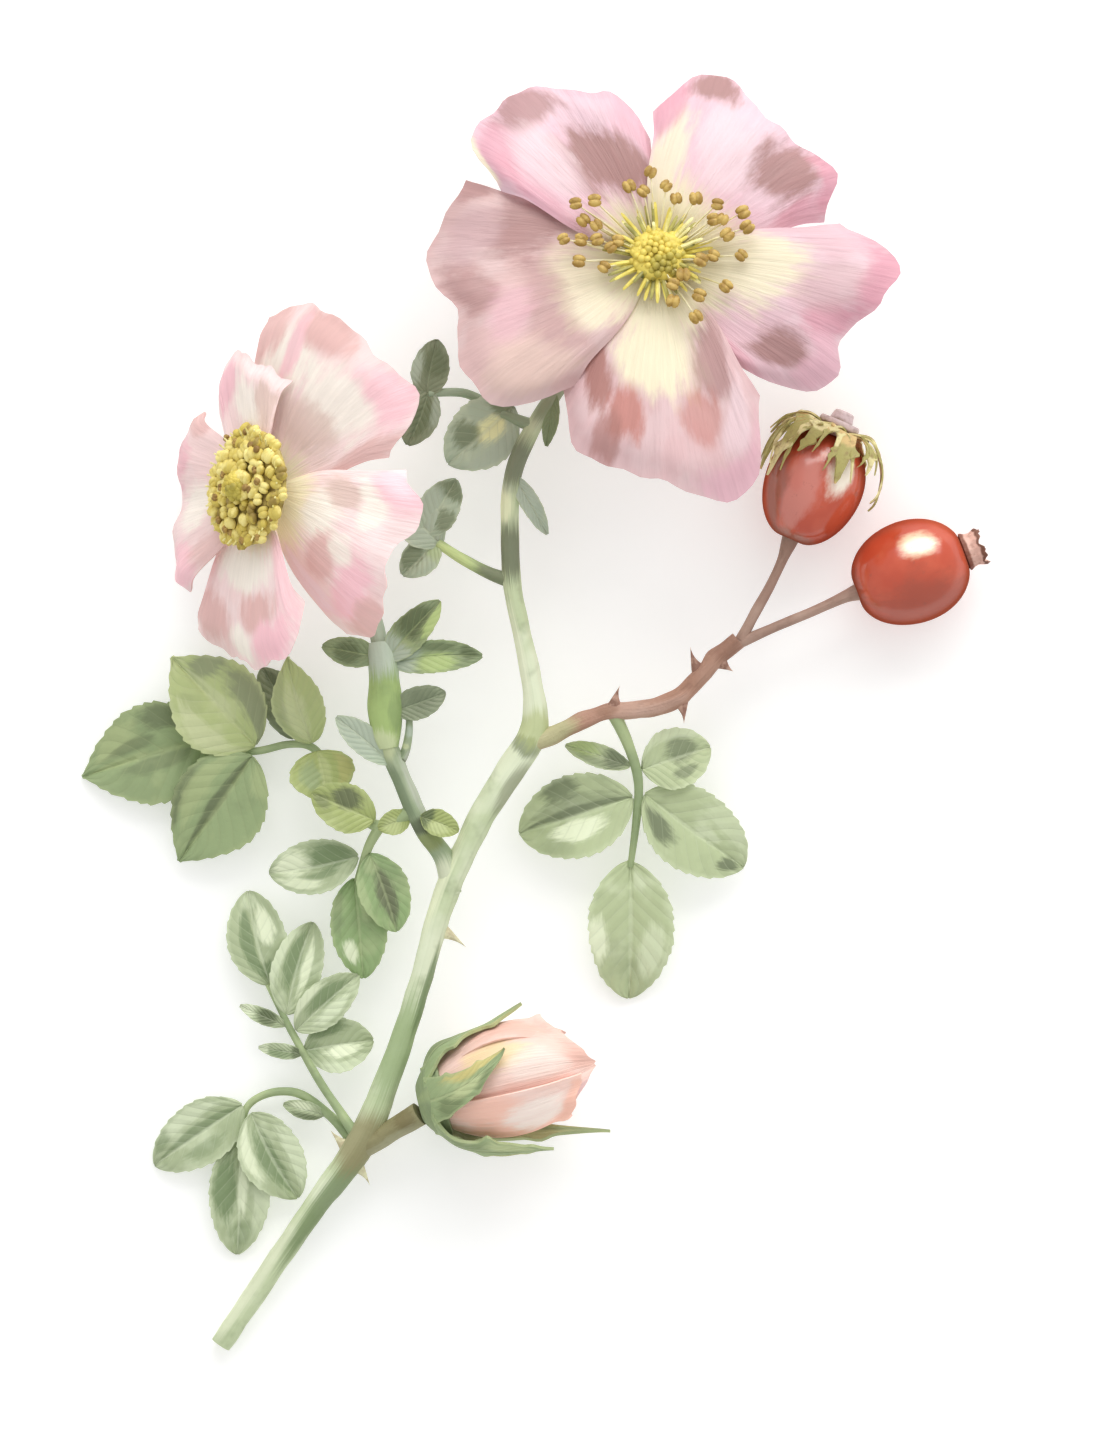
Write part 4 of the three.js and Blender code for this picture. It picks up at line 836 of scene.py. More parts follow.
def make_effects():
    """The masks that several finishes share."""
    ends = [("Place", (0, 0, 0)), ("Scale", 200.0), ("Low", 0.4), ("High", 0.6)]
    web, given, out = effect("mottling", ends, ["Mask"])
    grain = web.noise(given["Place"], given["Scale"], 3.0)
    web.feed(out["Mask"], web.ease(grain, given["Low"], given["High"]))

    ends = [("Map", (0, 0, 0)), ("Pairs", VEIN_PAIRS), ("Slant", VEIN_SLANT)]
    web, given, out = effect("leaf_veins", ends, ["Veins", "Midrib", "Swell"])
    aside = web.from_middle(given["Map"])
    run = web.times(web.parts(given["Map"])["Y"], given["Pairs"])
    phase = web.calc("SUBTRACT", run, web.times(aside, given["Slant"]))
    wave = web.calc("PINGPONG", phase, 0.5)
    fading = web.scaled(aside, -0.6, 1.0)
    web.feed(out["Veins"], web.times(web.ease(wave, 0.1, 0.0), fading))
    web.feed(out["Midrib"], web.ease(aside, 0.1, 0.02))
    web.feed(out["Swell"], web.calc("POWER", web.times(wave, 2.0), 0.6))

    ends = [("Map", (0, 0, 0)), ("Fineness", 36.0)]
    web, given, out = effect("silk_streaks", ends, ["Streak"])
    sockets = {"X": given["Fineness"], "Y": 2.2, "Z": 1.0}
    stretch = web.add("ShaderNodeCombineXYZ", sockets).outputs[0]
    lines = web.vector("MULTIPLY", given["Map"], stretch)
    web.feed(out["Streak"], web.noise(lines, 1.0, 4.0, 0.6))

    ends = [
        ("Map", (0, 0, 0)), ("Centre", (0.5, 0.5, 0)),
        ("Reach", (0.2, 0.2, 1.0)), ("Strength", 1.0),
    ]
    web, given, out = effect("soft_patch", ends, ["Mask"])
    from_centre = web.vector("SUBTRACT", given["Map"], given["Centre"])
    offset = web.vector("DIVIDE", from_centre, given["Reach"])
    brushed = web.vector("MULTIPLY", given["Map"], (18.0, 5.0, 1.0))
    ragged = web.noise(brushed, 1.0, 4.0, 0.65)
    edge = web.scaled(ragged, 1.3, web.vector("LENGTH", offset))
    web.feed(out["Mask"], web.times(web.ease(edge, 1.9, 1.2), given["Strength"]))


def material(name, finish, roughness=0.6, rim=None, **constants):
    """A material with the colour, roughness and height of finish(web), perhaps with painted shade at
    its rim.
    """
    made = bpy.data.materials.new(name)
    made.use_nodes = True
    made.node_tree.nodes.clear()
    web = Web(made.node_tree)
    shader = web.add("ShaderNodeBsdfPrincipled")
    end = web.add("ShaderNodeOutputMaterial")
    web.tree.links.new(shader.outputs[0], end.inputs["Surface"])
    colour, rough, height, depth = finish(web)
    for label, value in {"Specular_IOR_Level": 0.2, **constants}.items():
        shader.inputs[label.replace("_", " ")].default_value = value
    if rim:
        # Painted shade: the rim colour is mixed in where the surface turns away from the camera, and
        # the coat fades there.
        facing = web.add("ShaderNodeLayerWeight", {"Blend": 0.5}).outputs["Facing"]
        colour = web.mix(web.ease(facing, 0.4, 0.85, 0.0, 0.62), colour, rim)
        web.feed(shader.inputs["Coat Weight"], web.ease(facing, 0.35, 0.7, 1.0, 0.0))
    web.feed(shader.inputs["Base Color"], colour)
    web.feed(shader.inputs["Roughness"], roughness if rough is None else rough)
    bump = web.add("ShaderNodeBump", {"Height": height, "Distance": depth * MM, "Strength": 1.0})
    web.feed(shader.inputs["Normal"], bump.outputs["Normal"])
    return made


def petal_finish(base, cream_reach, patches, shade):
    def finish(web):
        spread = web.spread()
        streak = web.streaks(spread, 30.0)
        broad = web.mottling(web.place(), 160.0, 0.42, 0.62)
        colour = web.mix(web.times(broad, 0.6), base, web.mix(0.2, base, WHITE))
        fan = web.scaled(streak, 0.4, web.parts(spread)["Y"])
        warm = web.ease(fan, cream_reach + 0.3, cream_reach + 0.06)
        colour = web.mix(warm, colour, tint(*TONES["cream"]))
        colour = web.laid(colour, spread, [(TONES[patch[0]], *patch[1:]) for patch in patches])
        # Painted light and shade: the petal's colour is multiplied by its painted brightness, with the
        # silk streaks running through it.
        streaked_painted_light = web.ease(streak, 0.3, 0.75, shade - 0.05, shade + 0.04)
        painted_light_tint = web.add("ShaderNodeCombineColor", {0: streaked_painted_light, 1: streaked_painted_light, 2: streaked_painted_light}).outputs[0]
        colour = web.mix(1.0, colour, painted_light_tint, "MULTIPLY")
        return colour, web.ease(streak, 0.2, 0.8, 0.55, 0.72), streak, 0.2
    return finish


def leaf_finish(look, patches=()):
    """Leaf tissue with veins, in the tones of a look, with patches of its own."""
    named = dict(zip(("mid", "dark", "light"), LEAF_LOOKS[look]), **LEAF_TONES)
    mid, dark, light = (tint(*tone) for tone in LEAF_LOOKS[look])

    def finish(web):
        spread, place = web.spread(), web.place()
        veins = web.group("leaf_veins", {"Map": spread})
        shadow = web.mottling(place, 170.0, 0.5, 0.72)
        bright = web.mottling(web.vector("ADD", place, (0.3, 0.1, 0.2)), 210.0, 0.5, 0.75)
        colour = web.mix(web.times(shadow, 0.25), mid, dark)
        colour = web.mix(web.times(bright, 0.5), colour, light)
        colour = web.laid(colour, spread, [(named[patch[0]], *patch[1:]) for patch in patches])
        # Painted shade: the leaf darkens a little in the low grooves along its side veins.
        colour = web.mix(web.ease(veins["Swell"], 0.5, 0.0, 0.0, 0.1), colour, dark)
        colour = web.mix(web.times(veins["Veins"], 0.22), colour, light)
        colour = web.mix(web.times(veins["Midrib"], 0.35), colour, light)
        colour = web.mix(web.ease(web.from_middle(spread), 0.86, 1.0, 0.0, 0.35), colour, light)
        fine = web.noise(place, 1600.0, 2.0)
        height = web.scaled(veins["Swell"], 0.5, web.times(fine, 0.25))
        height = web.calc("SUBTRACT", height, web.times(veins["Midrib"], 0.5))
        return colour, web.ease(fine, 0.3, 0.7, 0.52, 0.7), height, 0.16
    return finish


def bark_finish(light, mid, dark, grain, depth, patches):
    light, mid, dark = tint(*light), tint(*mid), tint(*dark)

    def finish(web):
        place, spread = web.place(), web.spread()
        streak = web.streaks(spread, 14.0)
        colour = web.mix(web.mottling(place, 110.0, 0.38, 0.6), light, mid)
        colour = web.mix(web.times(web.mottling(place, grain, 0.52, 0.74), 0.4), colour, dark)
        # Patches laid by side round the stem, some of them painted highlights on the left and painted
        # shade on the right.
        colour = web.laid(colour, web.sides(spread), patches)
        colour = web.mix(web.ease(streak, 0.5, 0.8, 0.0, 0.3), colour, dark)
        pores = web.noise(place, 2200.0, 2.0)
        height = web.scaled(streak, 1.0, web.times(pores, 0.4))
        return colour, web.ease(pores, 0.3, 0.7, 0.5, 0.72), height, depth
    return finish


def skin_finish(bright, red, dark, patches):
    def finish(web):
        place, spread = web.place(), web.spread()
        along = web.parts(spread)["Y"]
        colour = web.mix(web.mottling(place, 120.0, 0.42, 0.64), red, bright)
        colour = web.laid(colour, spread, patches)
        ends = web.calc("MAXIMUM", web.ease(along, 0.18, 0.0), web.ease(along, 0.86, 1.0))
        colour = web.mix(web.times(ends, 0.7), colour, dark)
        colour = web.mix(web.times(web.mottling(place, 900.0, 0.64, 0.74), 0.3), colour, dark)
        dents = web.noise(place, 420.0, 2.0)
        return colour, web.ease(dents, 0.3, 0.7, 0.3, 0.42), dents, 0.05
    return finish


def powder_finish(light, dark, scale):
    def finish(web):
        place = web.place()
        colour = web.mix(web.mottling(place, scale, 0.4, 0.62), light, dark)
        return colour, None, web.noise(place, scale * 2.5, 2.0), 0.08
    return finish


def banded_finish(light, dark, bands):
    """Dry tissue in bands along the piece: places and tones, with darker flecks."""
    def finish(web):
        place, spread = web.place(), web.spread()
        along = web.scaled(web.noise(place, 700.0, 2.0), 0.12, web.parts(spread)["Y"])
        colour = tint(*light)
        for start, end, tone in bands:
            rising, falling = web.ease(along, start, start + 0.06), web.ease(along, end + 0.06, end)
            colour = web.mix(web.times(rising, falling), colour, tint(*tone))
        flecks = web.mottling(place, 1100.0, 0.5, 0.7)
        colour = web.mix(web.times(flecks, 0.5), colour, tint(*dark))
        return colour, None, web.noise(place, 2400.0, 2.0), 0.1
    return finish


def wood_end_finish(web):
    rings = web.noise(web.place(), 1100.0, 3.0)
    colour = web.mix(web.ease(rings, 0.4, 0.65), tint(0.93, 0.94, 0.82), tint(0.70, 0.72, 0.52))
    return colour, None, rings, 0.1


# Middle, dark and light tone of each kind of leaf.
LEAF_LOOKS = {
    "sage": ((0.73, 0.78, 0.61), (0.45, 0.49, 0.38), (0.85, 0.89, 0.75)),
    "olive": ((0.70, 0.75, 0.52), (0.54, 0.57, 0.45), (0.78, 0.81, 0.63)),
    "olive_deep": ((0.60, 0.67, 0.49), (0.43, 0.47, 0.35), (0.69, 0.74, 0.54)),
    "lime": ((0.66, 0.71, 0.45), (0.41, 0.44, 0.33), (0.77, 0.81, 0.59)),
    "fresh": ((0.60, 0.70, 0.49), (0.44, 0.46, 0.36), (0.74, 0.79, 0.60)),
    "dappled": ((0.68, 0.73, 0.58), (0.45, 0.53, 0.37), (0.87, 0.91, 0.78)),
    "shaded": ((0.53, 0.57, 0.46), (0.40, 0.44, 0.34), (0.64, 0.69, 0.56)),
    "glaucous": ((0.70, 0.76, 0.66), (0.48, 0.53, 0.41), (0.82, 0.86, 0.74)),
    "hoary": ((0.72, 0.77, 0.69), (0.60, 0.66, 0.56), (0.86, 0.88, 0.72)),
    "deep": ((0.55, 0.61, 0.46), (0.38, 0.42, 0.28), (0.69, 0.75, 0.53)),
    "sepal": ((0.60, 0.67, 0.49), (0.42, 0.47, 0.33), (0.79, 0.83, 0.66)),
    "bud_sepal": ((0.61, 0.68, 0.50), (0.44, 0.49, 0.34), (0.76, 0.80, 0.60)),
}
# Tones of a leaf's patches beside the dark and light ones of its look. The near-white tone and
# the pale yellow one are painted highlights.
LEAF_TONES = {
    "painted_highlight": (0.95, 0.98, 0.85), "cool": (0.58, 0.66, 0.53), "warm": (0.80, 0.76, 0.50),
    "hoar": (0.70, 0.75, 0.67), "painted_sunspot": (0.93, 0.94, 0.72), "spring": (0.71, 0.79, 0.52),
    "deep": (0.39, 0.44, 0.31),
}
# Light, middle and dark tone of each bark, the coarseness of its grain and its depth in mm.
BARKS = {
    "main_stem": ((0.88, 0.91, 0.79), (0.78, 0.83, 0.67), (0.52, 0.58, 0.42), 260, 0.12),
    "side_stem": ((0.70, 0.74, 0.62), (0.60, 0.66, 0.53), (0.46, 0.51, 0.40), 260, 0.12),
    "hip_branch": ((0.76, 0.62, 0.55), (0.69, 0.53, 0.45), (0.52, 0.38, 0.31), 420, 0.3),
    "hip_stalk": ((0.71, 0.60, 0.54), (0.64, 0.52, 0.46), (0.50, 0.39, 0.34), 420, 0.16),
    "bud_stalk": ((0.66, 0.65, 0.50), (0.57, 0.55, 0.40), (0.46, 0.42, 0.29), 260, 0.12),
    "leaf_stalk": ((0.70, 0.76, 0.57), (0.60, 0.67, 0.50), (0.46, 0.52, 0.38), 260, 0.12),
    "upper_stalk": ((0.69, 0.75, 0.66), (0.62, 0.69, 0.58), (0.48, 0.53, 0.42), 260, 0.12),
    "middle_stalk": ((0.72, 0.78, 0.56), (0.64, 0.71, 0.50), (0.48, 0.53, 0.40), 260, 0.12),
    "sheath": ((0.66, 0.75, 0.48), (0.60, 0.69, 0.44), (0.52, 0.60, 0.40), 260, 0.12),
}
# Light and dark tone of each powdery finish and the coarseness of its grain.
POWDERS = {
    "prickle": ((0.90, 0.89, 0.74), (0.78, 0.74, 0.60), 900),
    "brown_prickle": ((0.74, 0.60, 0.53), (0.56, 0.42, 0.36), 900),
    "anther": ((0.78, 0.66, 0.37), (0.63, 0.50, 0.25), 800),
    "brown_anther": ((0.70, 0.57, 0.32), (0.54, 0.42, 0.22), 800),
    "pale_anther": ((0.94, 0.88, 0.56), (0.83, 0.75, 0.38), 500),
    "ochre_anther": ((0.82, 0.74, 0.36), (0.60, 0.51, 0.26), 500),
    "filament": ((0.94, 0.91, 0.66), (0.86, 0.82, 0.48), 700),
    "pale_filament": ((0.97, 0.94, 0.80), (0.92, 0.88, 0.66), 700),
    "yellow_tuft": ((0.93, 0.87, 0.45), (0.84, 0.77, 0.35), 600),
    "olive_tuft": ((0.72, 0.69, 0.38), (0.58, 0.56, 0.32), 600),
    "style": ((0.90, 0.82, 0.40), (0.78, 0.70, 0.31), 350),
    # Painted shade: the style's tones darkened, for the stigmas on the dome's shaded side.
    "olive_style": ((0.74, 0.68, 0.31), (0.60, 0.55, 0.25), 350),
    "bed": ((0.80, 0.72, 0.40), (0.52, 0.44, 0.24), 500),
}
# Dry tissues: main tone, tone of the flecks and bands.
STRAW, OLIVE, BROWN = (0.88, 0.84, 0.62), (0.68, 0.65, 0.40), (0.56, 0.44, 0.31)
DRY_TISSUES = {
    "dried_olive": (OLIVE, BROWN, [(0.25, 0.6, STRAW)]),
    "dried_straw": (STRAW, BROWN, [(0.3, 0.7, OLIVE)]),
    "dried_tan": ((0.84, 0.73, 0.50), BROWN, [(0.5, 1.0, OLIVE)]),
    "crown": (
        (0.84, 0.76, 0.76), (0.62, 0.52, 0.50),
        # Painted shade: the two darker bands lie on the disc's outer wall and in the groove round its
        # knob.
        [(0.26, 0.38, (0.47, 0.38, 0.32)), (0.62, 0.72, (0.60, 0.50, 0.44))],
    ),
    "stub": (
        (0.87, 0.71, 0.65), (0.60, 0.42, 0.36),
        [(0.0, 0.3, (0.50, 0.30, 0.24)), (0.62, 0.8, (0.48, 0.32, 0.26))],
    ),
}
DRIED = ("dried_olive", "dried_straw", "dried_tan")
# Patches on the skin of a hip, in the same order of numbers as a leaf's. The cream patches are
# painted highlights.
HIP_PATCHES = {
    "upper_hip": (
        ((0.82, 0.52, 0.47), -0.28, 0.44, 0.15, 0.3, 0.85),
        ((0.60, 0.36, 0.30), -0.1, 0.36, 0.1, 0.3, 0.8),
        ((0.62, 0.42, 0.36), -0.45, 0.1, 0.6, 0.1, 0.8),
        # Painted highlight on the upper hip's shoulder.
        ((0.99, 0.95, 0.88), -0.52, 0.64, 0.1, 0.15, 1.0),
    ),
    "lower_hip": (
        ((0.60, 0.29, 0.22), 0.0, 0.08, 1.0, 0.10, 0.6),
        ((0.62, 0.29, 0.21), -0.5, 0.5, 0.36, 0.4, 0.6),
        # Painted highlight, a cream patch under the lower hip's shine.
        ((0.97, 0.86, 0.72), 0.05, 0.60, 0.085, 0.12, 0.9),
    ),
}
# The coat of a hip, which gives it its sharp highlight.
WET_SHINE = {"Coat_IOR": 1.6, "Coat_Roughness": 0.16, "Specular_IOR_Level": 0.0}


def petal_name(flower, side):
    return f"{flower['name']}_petal_{side}"


def blade_name(node, index):
    return f"{node}_blade_{index}"


def make_materials(petals, hips):
    """Every finish by name. The groups of settings hold the colours that a user may change."""
    finishes = {f"{look}_leaf": leaf_finish(look) for look in ("hoary", "deep", "sepal")}
    finishes["wood_end"] = wood_end_finish
    for index, patches in enumerate(BUD_SEPAL_PATCHES):
        finishes[f"bud_sepal_{index}"] = leaf_finish("bud_sepal", patches)
    for name, (*_, look, patches) in LEAFLETS.items():
        finishes[name] = leaf_finish(look, patches)
    for node, leaflets in GROWN_LEAFLETS.items():
        for index, (*_, look, patches) in enumerate(leaflets):
            finishes[blade_name(node, index)] = leaf_finish(look, patches)
    for name, bark in BARKS.items():
        finishes[f"{name}_bark"] = bark_finish(*bark, STEM_PATCHES.get(name, ()))
    for name, (light, dark, scale) in POWDERS.items():
        finishes[name] = powder_finish(tint(*light), tint(*dark), scale)
    for name, tissue in DRY_TISSUES.items():
        finishes[name] = banded_finish(*tissue)

    pink, dusky, pale = (Vector(colour) for colour in (petals.pink, petals.dusky, petals.pale))
    for flower, plain in ((LARGE_FLOWER, pink), (SIDE_FLOWER, pale)):
        for side, (_, reach, dusk, patches) in flower["petals"].items():
            base, shade = tuple(plain.lerp(dusky, dusk)), flower["shade"][side]
            finishes[petal_name(flower, side)] = petal_finish(base, reach, patches, shade)
    for index, (*_, shade, patches) in enumerate(BUD_PETALS):
        finishes[f"bud_petal_{index + 1}"] = petal_finish(tuple(petals.bud), -0.3, patches, shade)
    coral = [("coral", 0, 0.9, 2, 0.3, 0.6)]
    finishes["bud_heart"] = petal_finish(tuple(petals.bud), -0.3, coral, 1.0)

    made = {name: material(name, finish) for name, finish in finishes.items()}
    bright, red, dark = tuple(hips.bright), tuple(hips.red), tuple(hips.dark)
    for name, patches in HIP_PATCHES.items():
        skin = skin_finish(bright, red, dark, patches)
        # The hip's dark red is also painted as shade at its rim.
        made[name] = material(f"{name}_skin", skin, rim=dark, **WET_SHINE)
    return made


MATERIALS = {}


def materials():
    """The materials, made the first time that they are asked for."""
    if not MATERIALS:
        make_effects()
        scene = bpy.context.scene
        MATERIALS.update(make_materials(scene.sprig_petals, scene.sprig_hips))
    return MATERIALS


# ------------------------------------------------------------------ stems and leaves
def stem(name, bark, sides=STALK_SIDES, lumps=0.04, seed=0.0):
    """A round stem with slight lumps along its route."""
    route = ROUTES[name]
    steps = (len(route) - 1) * STEM_RINGS
    frames = stem_frames(route, steps)
    radii = [point[3] for point in route]

    def place(u, v):
        centre, _, left, upper = frames[round(v * steps)]
        angle = full_turn(u)
        away = left * math.cos(angle) + upper * math.sin(angle)
        lump = noise.noise(centre * 0.35 + away * 0.9 + Vector((seed, 0, 0)))
        return centre + away * through(radii, v) * (1 + lumps * lump * 2)

    return rolled(name, f"{bark}_bark", sides, steps, place)


def prickle(route, look, along, turn, length, lean):
    """A curved prickle, broad along the stem at its foot."""
    steps = 200
    centre, direction, left, _ = stem_frames(route, steps)[round(along * steps)]
    radius = through([point[3] for point in route], along)
    outwards = Matrix.Rotation(math.radians(turn), 3, direction) @ left
    across = outwards.cross(direction)
    bend = math.tan(math.radians(lean))
    long, wide = PRICKLE_FOOT

    def place(u, v):
        angle = full_turn(u)
        slim = (1 - v) ** 1.5
        rise = radius * 0.6 + length * v
        shift = bend * length * v * (0.5 + 0.5 * v)
        foot = direction * math.cos(angle) * long * slim + across * math.sin(angle) * wide * slim
        return centre + outwards * rise + direction * shift + foot

    return rolled("prickle", look, 10, 8, place)


def leaf_matrix(base, tip):
    along = (tip - base).normalized()
    across = UP.cross(along).normalized()
    above = along.cross(across)
    return Matrix.Translation(base) @ Matrix((along, across, above)).transposed().to_4x4()


def blade(name, look, base, tip, width, settings, pointed=False, seed=0.0):
    """A folded, toothed leaflet with a sunk midrib and swollen areas between its side veins."""
    base, tip = Vector(base), Vector(tip)
    length = (tip - base).length
    teeth = max(4, round(length / TOOTH_SPACING))
    twist = 0.25 * noise.noise(Vector((seed, 3.1, 0.4)))
    sway = 0.07 * noise.noise(Vector((seed, 7.7, 2.2)))

    def place(u, v):
        across = 1 - 2 * u
        aside = abs(across)
        if not 0 < v < 1:
            swell = 0.0
        elif pointed:
            swell = math.sin(math.pi * v ** 0.82) ** (0.62 + 0.34 * v)
        else:
            swell = math.sin(math.pi * v ** 0.92) ** 0.58
        half = max(width * swell, 0.4) / 2
        half *= 1 + 0.05 * noise.noise(Vector((v * 2.5, seed, 5 if across > 0 else 0)))
        bite = (v * teeth) % 1.0 * smooth(0.06, 0.18, v) * smooth(0.97, 0.88, v)
        half += settings.tooth_depth * width * bite * aside ** 8
        phase = (v * VEIN_PAIRS - aside * VEIN_SLANT) % 1.0
        quilt = math.sin(math.pi * phase) * aside * (1 - aside ** 4) * 0.012 * width
        rib = 0.02 * width * math.exp(-((across * half / 0.4) ** 2))
        arch = 0.05 * length * 4 * v * (1 - v)
        fold = 0.14 * aside * half
        wave = 0.02 * width * math.sin(9.0 * v + seed + 2.0 * across) * aside * aside
        height = arch + fold + quilt - rib + wave + twist * across * half * v * 0.5
        drift = sway * length * math.sin(math.pi * v)
        return Vector((v * length, across * half + drift, height))

    piece = surface(name, 14, teeth * 5, place, leaf_matrix(base, tip))
    return painted(thicken(piece, settings.thickness), look)


def grown_blades(node, settings):
    """The leaflets that share a node with their stalk."""
    blades = []
    for index, (base, tip, width, _, _) in enumerate(GROWN_LEAFLETS.get(node, ())):
        name = blade_name(node, index)
        blades.append(blade(name, name, base, tip, width, settings, seed=index * 2.7))
    return blades


# ------------------------------------------------------------------ flowers
def petal(name, flower, shape, settings, seed):
    """A broad petal, cupped at its base, bent back at its tip and ruffled at its edge."""
    azimuth, spread, edge, base_slope, tip_slope, tilt, step = shape
    start = math.radians(base_slope)
    bend = math.radians(tip_slope - base_slope) / max(edge)
    slant = math.tan(math.radians(tilt))

    def place(u, v):
        across = 1 - 2 * u
        jitter = 0.3 * math.sin(11 * across + seed) + 0.2 * math.sin(23 * across + 2 * seed)
        travelled = mixed(PETAL_CLAW, through(edge, (across + 1) / 2) + jitter, v)
        turn = math.radians(mixed(spread + 8, spread, smooth(0.2, 0.85, v))) * across
        out = (math.sin(start + bend * travelled) - math.sin(start)) / bend
        rise = (math.cos(start) - math.cos(start + bend * travelled)) / bend
        side = out * math.sin(turn)
        folds = math.sin(2.6 * math.pi * across * 0.5 + seed) * v ** 1.6
        folds += 0.45 * math.sin(9.0 * across + 3.0 * v + seed * 2) * v ** 3
        folds += 0.3 * noise.noise(Vector((across * 3, v * 4, seed))) * v
        roll = 1.0 * smooth(0.8, 1.0, v) ** 2 + 0.7 * smooth(0.8, 1.0, abs(across)) ** 2 * v
        height = step + rise + side * slant + settings.ruffle * folds - roll
        return Vector((out * math.cos(turn), side, height))

    where = standing(flower["centre"], flower["axis"]) @ turned(azimuth)
    return painted(thicken(surface(name, 32, 30, place, where), settings.thickness), name)


def anther_master(look, size=1.0):
    """Two lobes side by side at the origin, in plain mm."""
    lobes = []
    for side in (-1, 1):
        bpy.ops.mesh.primitive_uv_sphere_add(
            segments=10, ring_count=6, radius=ANTHER_RADIUS * size,
            location=(0, side * 0.31 * size, 0))
        lobe = bpy.context.active_object
        lobe.scale = (1.6, 1.0, 1.0)
        bpy.ops.object.transform_apply(location=True, rotation=True, scale=True)
        lobe.data.uv_layers[0].name = SURFACE_MAP
        lobes.append(painted(lobe, look))
    return joined("anther", lobes)


def thread_master(path, radius, flat, look):
    """A thread along a path in the XZ plane, in plain mm."""
    points = [Vector((out, 0, up)) for out, up in path]

    def place(u, v):
        angle = full_turn(u)
        width = radius * mixed(1.0, 0.55, v)
        rise = path_side(points, v) * (math.sin(angle) * width * flat)
        return through(points, v) + rise + Vector((0, math.cos(angle) * width, 0))

    return rolled("thread", look, 6, 7, place, MASTER, 0.001)


def large_stamens():
    """Single stamens of uneven length, with short threads thick round the middle."""
    where = standing(LARGE_FLOWER["centre"], LARGE_FLOWER["axis"])
    chance = random.Random(5)
    anther = anther_master("anther")
    path = ((0.18, 0.9), (0.5, 2.4), (0.8, 3.9), (1.0, 4.4))
    filament = thread_master(path, 0.13, 1.0, "pale_filament")
    parts = []
    for degrees, reach in ANTHER_PLACES:
        spin = where @ turned(degrees)
        rise = mixed(0.9, 1.2, chance.random())
        parts.append(copied(filament, spin @ Matrix.Diagonal((reach, 1, rise, 1))))
        tilt = turned(chance.uniform(-50, 50))
        size = Matrix.Scale(chance.uniform(0.95, 1.15), 4)
        spot = Matrix.Translation((reach, 0, 4.5 * rise))
        parts.append(copied(anther, spin @ spot @ tilt @ size))
    path = ((0.2, 1.6), (0.5, 2.9), (0.8, 3.4), (1.0, 3.6))
    tufts = (("yellow_tuft", 26, 0.3), ("filament", 18, 4.1), ("olive_tuft", 20, 7.7))
    for look, count, first in tufts:
        thread = thread_master(path, 0.36, 0.5, look)
        for index in range(count):
            degrees = (index + chance.uniform(0, 0.9)) * 360 / count + first
            reach = chance.uniform(3.6, 6.8)
            stretch = Matrix.Diagonal((reach, 1, chance.uniform(0.85, 1.15), 1))
            parts.append(copied(thread, where @ turned(degrees) @ stretch))
        discard(thread)

    def place(u, v):
        around = full_turn(v)
        radius, height = 2.0 + 0.55 * math.cos(around), 1.5 + 0.6 * math.sin(around)
        return around_axis(radius, full_turn(u), height)

    collar = rolled("collar", "filament", 28, 10, place, where)
    discard(anther, filament)
    return joined("large_flower_stamens", [collar, *parts])


def side_stamens():
    """A dense cushion of anthers over a bed of short threads."""
    where = standing(SIDE_FLOWER["centre"], SIDE_FLOWER["axis"])
    chance = random.Random(12)

    def place(u, v):
        angle = full_turn(u)
        radius = through((0.0, 1.6, 3.0, 7.0, 7.3, 6.0, 3.6, 1.6, 0.0), v)
        height = through((-0.3, -0.2, 0.6, 2.2, 2.9, 3.6, 4.0, 4.2, 4.2), v)
        lump = noise.noise(around_axis(radius, angle, height) * 0.8)
        height += 0.5 * lump * smooth(0, 0.4, v)
        return around_axis(radius * (1 + 0.06 * lump), angle, height)

    parts = [rolled("bed", "bed", 40, 28, place, where)]
    looks = ("pale_anther", "pale_anther", "ochre_anther")
    masters = [anther_master(look) for look in looks]
    brown = anther_master("brown_anther", 0.6)
    for index in range(CUSHION_ANTHERS):
        radius = 7.9 * math.sqrt((index + 0.5) / CUSHION_ANTHERS) + chance.uniform(-0.3, 0.3)
        angle = index * GOLDEN_ANGLE
        height = 5.0 - 0.035 * radius * radius + chance.uniform(-0.4, 0.5)
        spot = Matrix.Translation(around_axis(radius, angle, height))
        lean = turned(math.degrees(angle) + chance.uniform(-60, 60))
        lean = lean @ Matrix.Rotation(chance.uniform(-0.5, 0.5), 4, "Y")
        size = Matrix.Scale(chance.uniform(0.95, 1.25), 4)
        parts.append(copied(masters[chance.randrange(3)], where @ spot @ lean @ size))
        if index % 4 == 1:
            shift = (chance.uniform(-0.9, 0.9), chance.uniform(-0.9, 0.9), 0.5)
            parts.append(copied(brown, where @ spot @ Matrix.Translation(shift) @ lean))
    path = ((3.0, 1.2), (5.2, 2.6), (6.8, 3.6), (7.6, 4.2))
    thread = thread_master(path, 0.2, 1.0, "filament")
    for index in range(CUSHION_THREADS):
        degrees = index * 360 / CUSHION_THREADS + chance.uniform(-4, 4)
        parts.append(copied(thread, where @ turned(degrees)))
    discard(*masters, brown, thread)
    return joined("side_flower_stamens", parts)


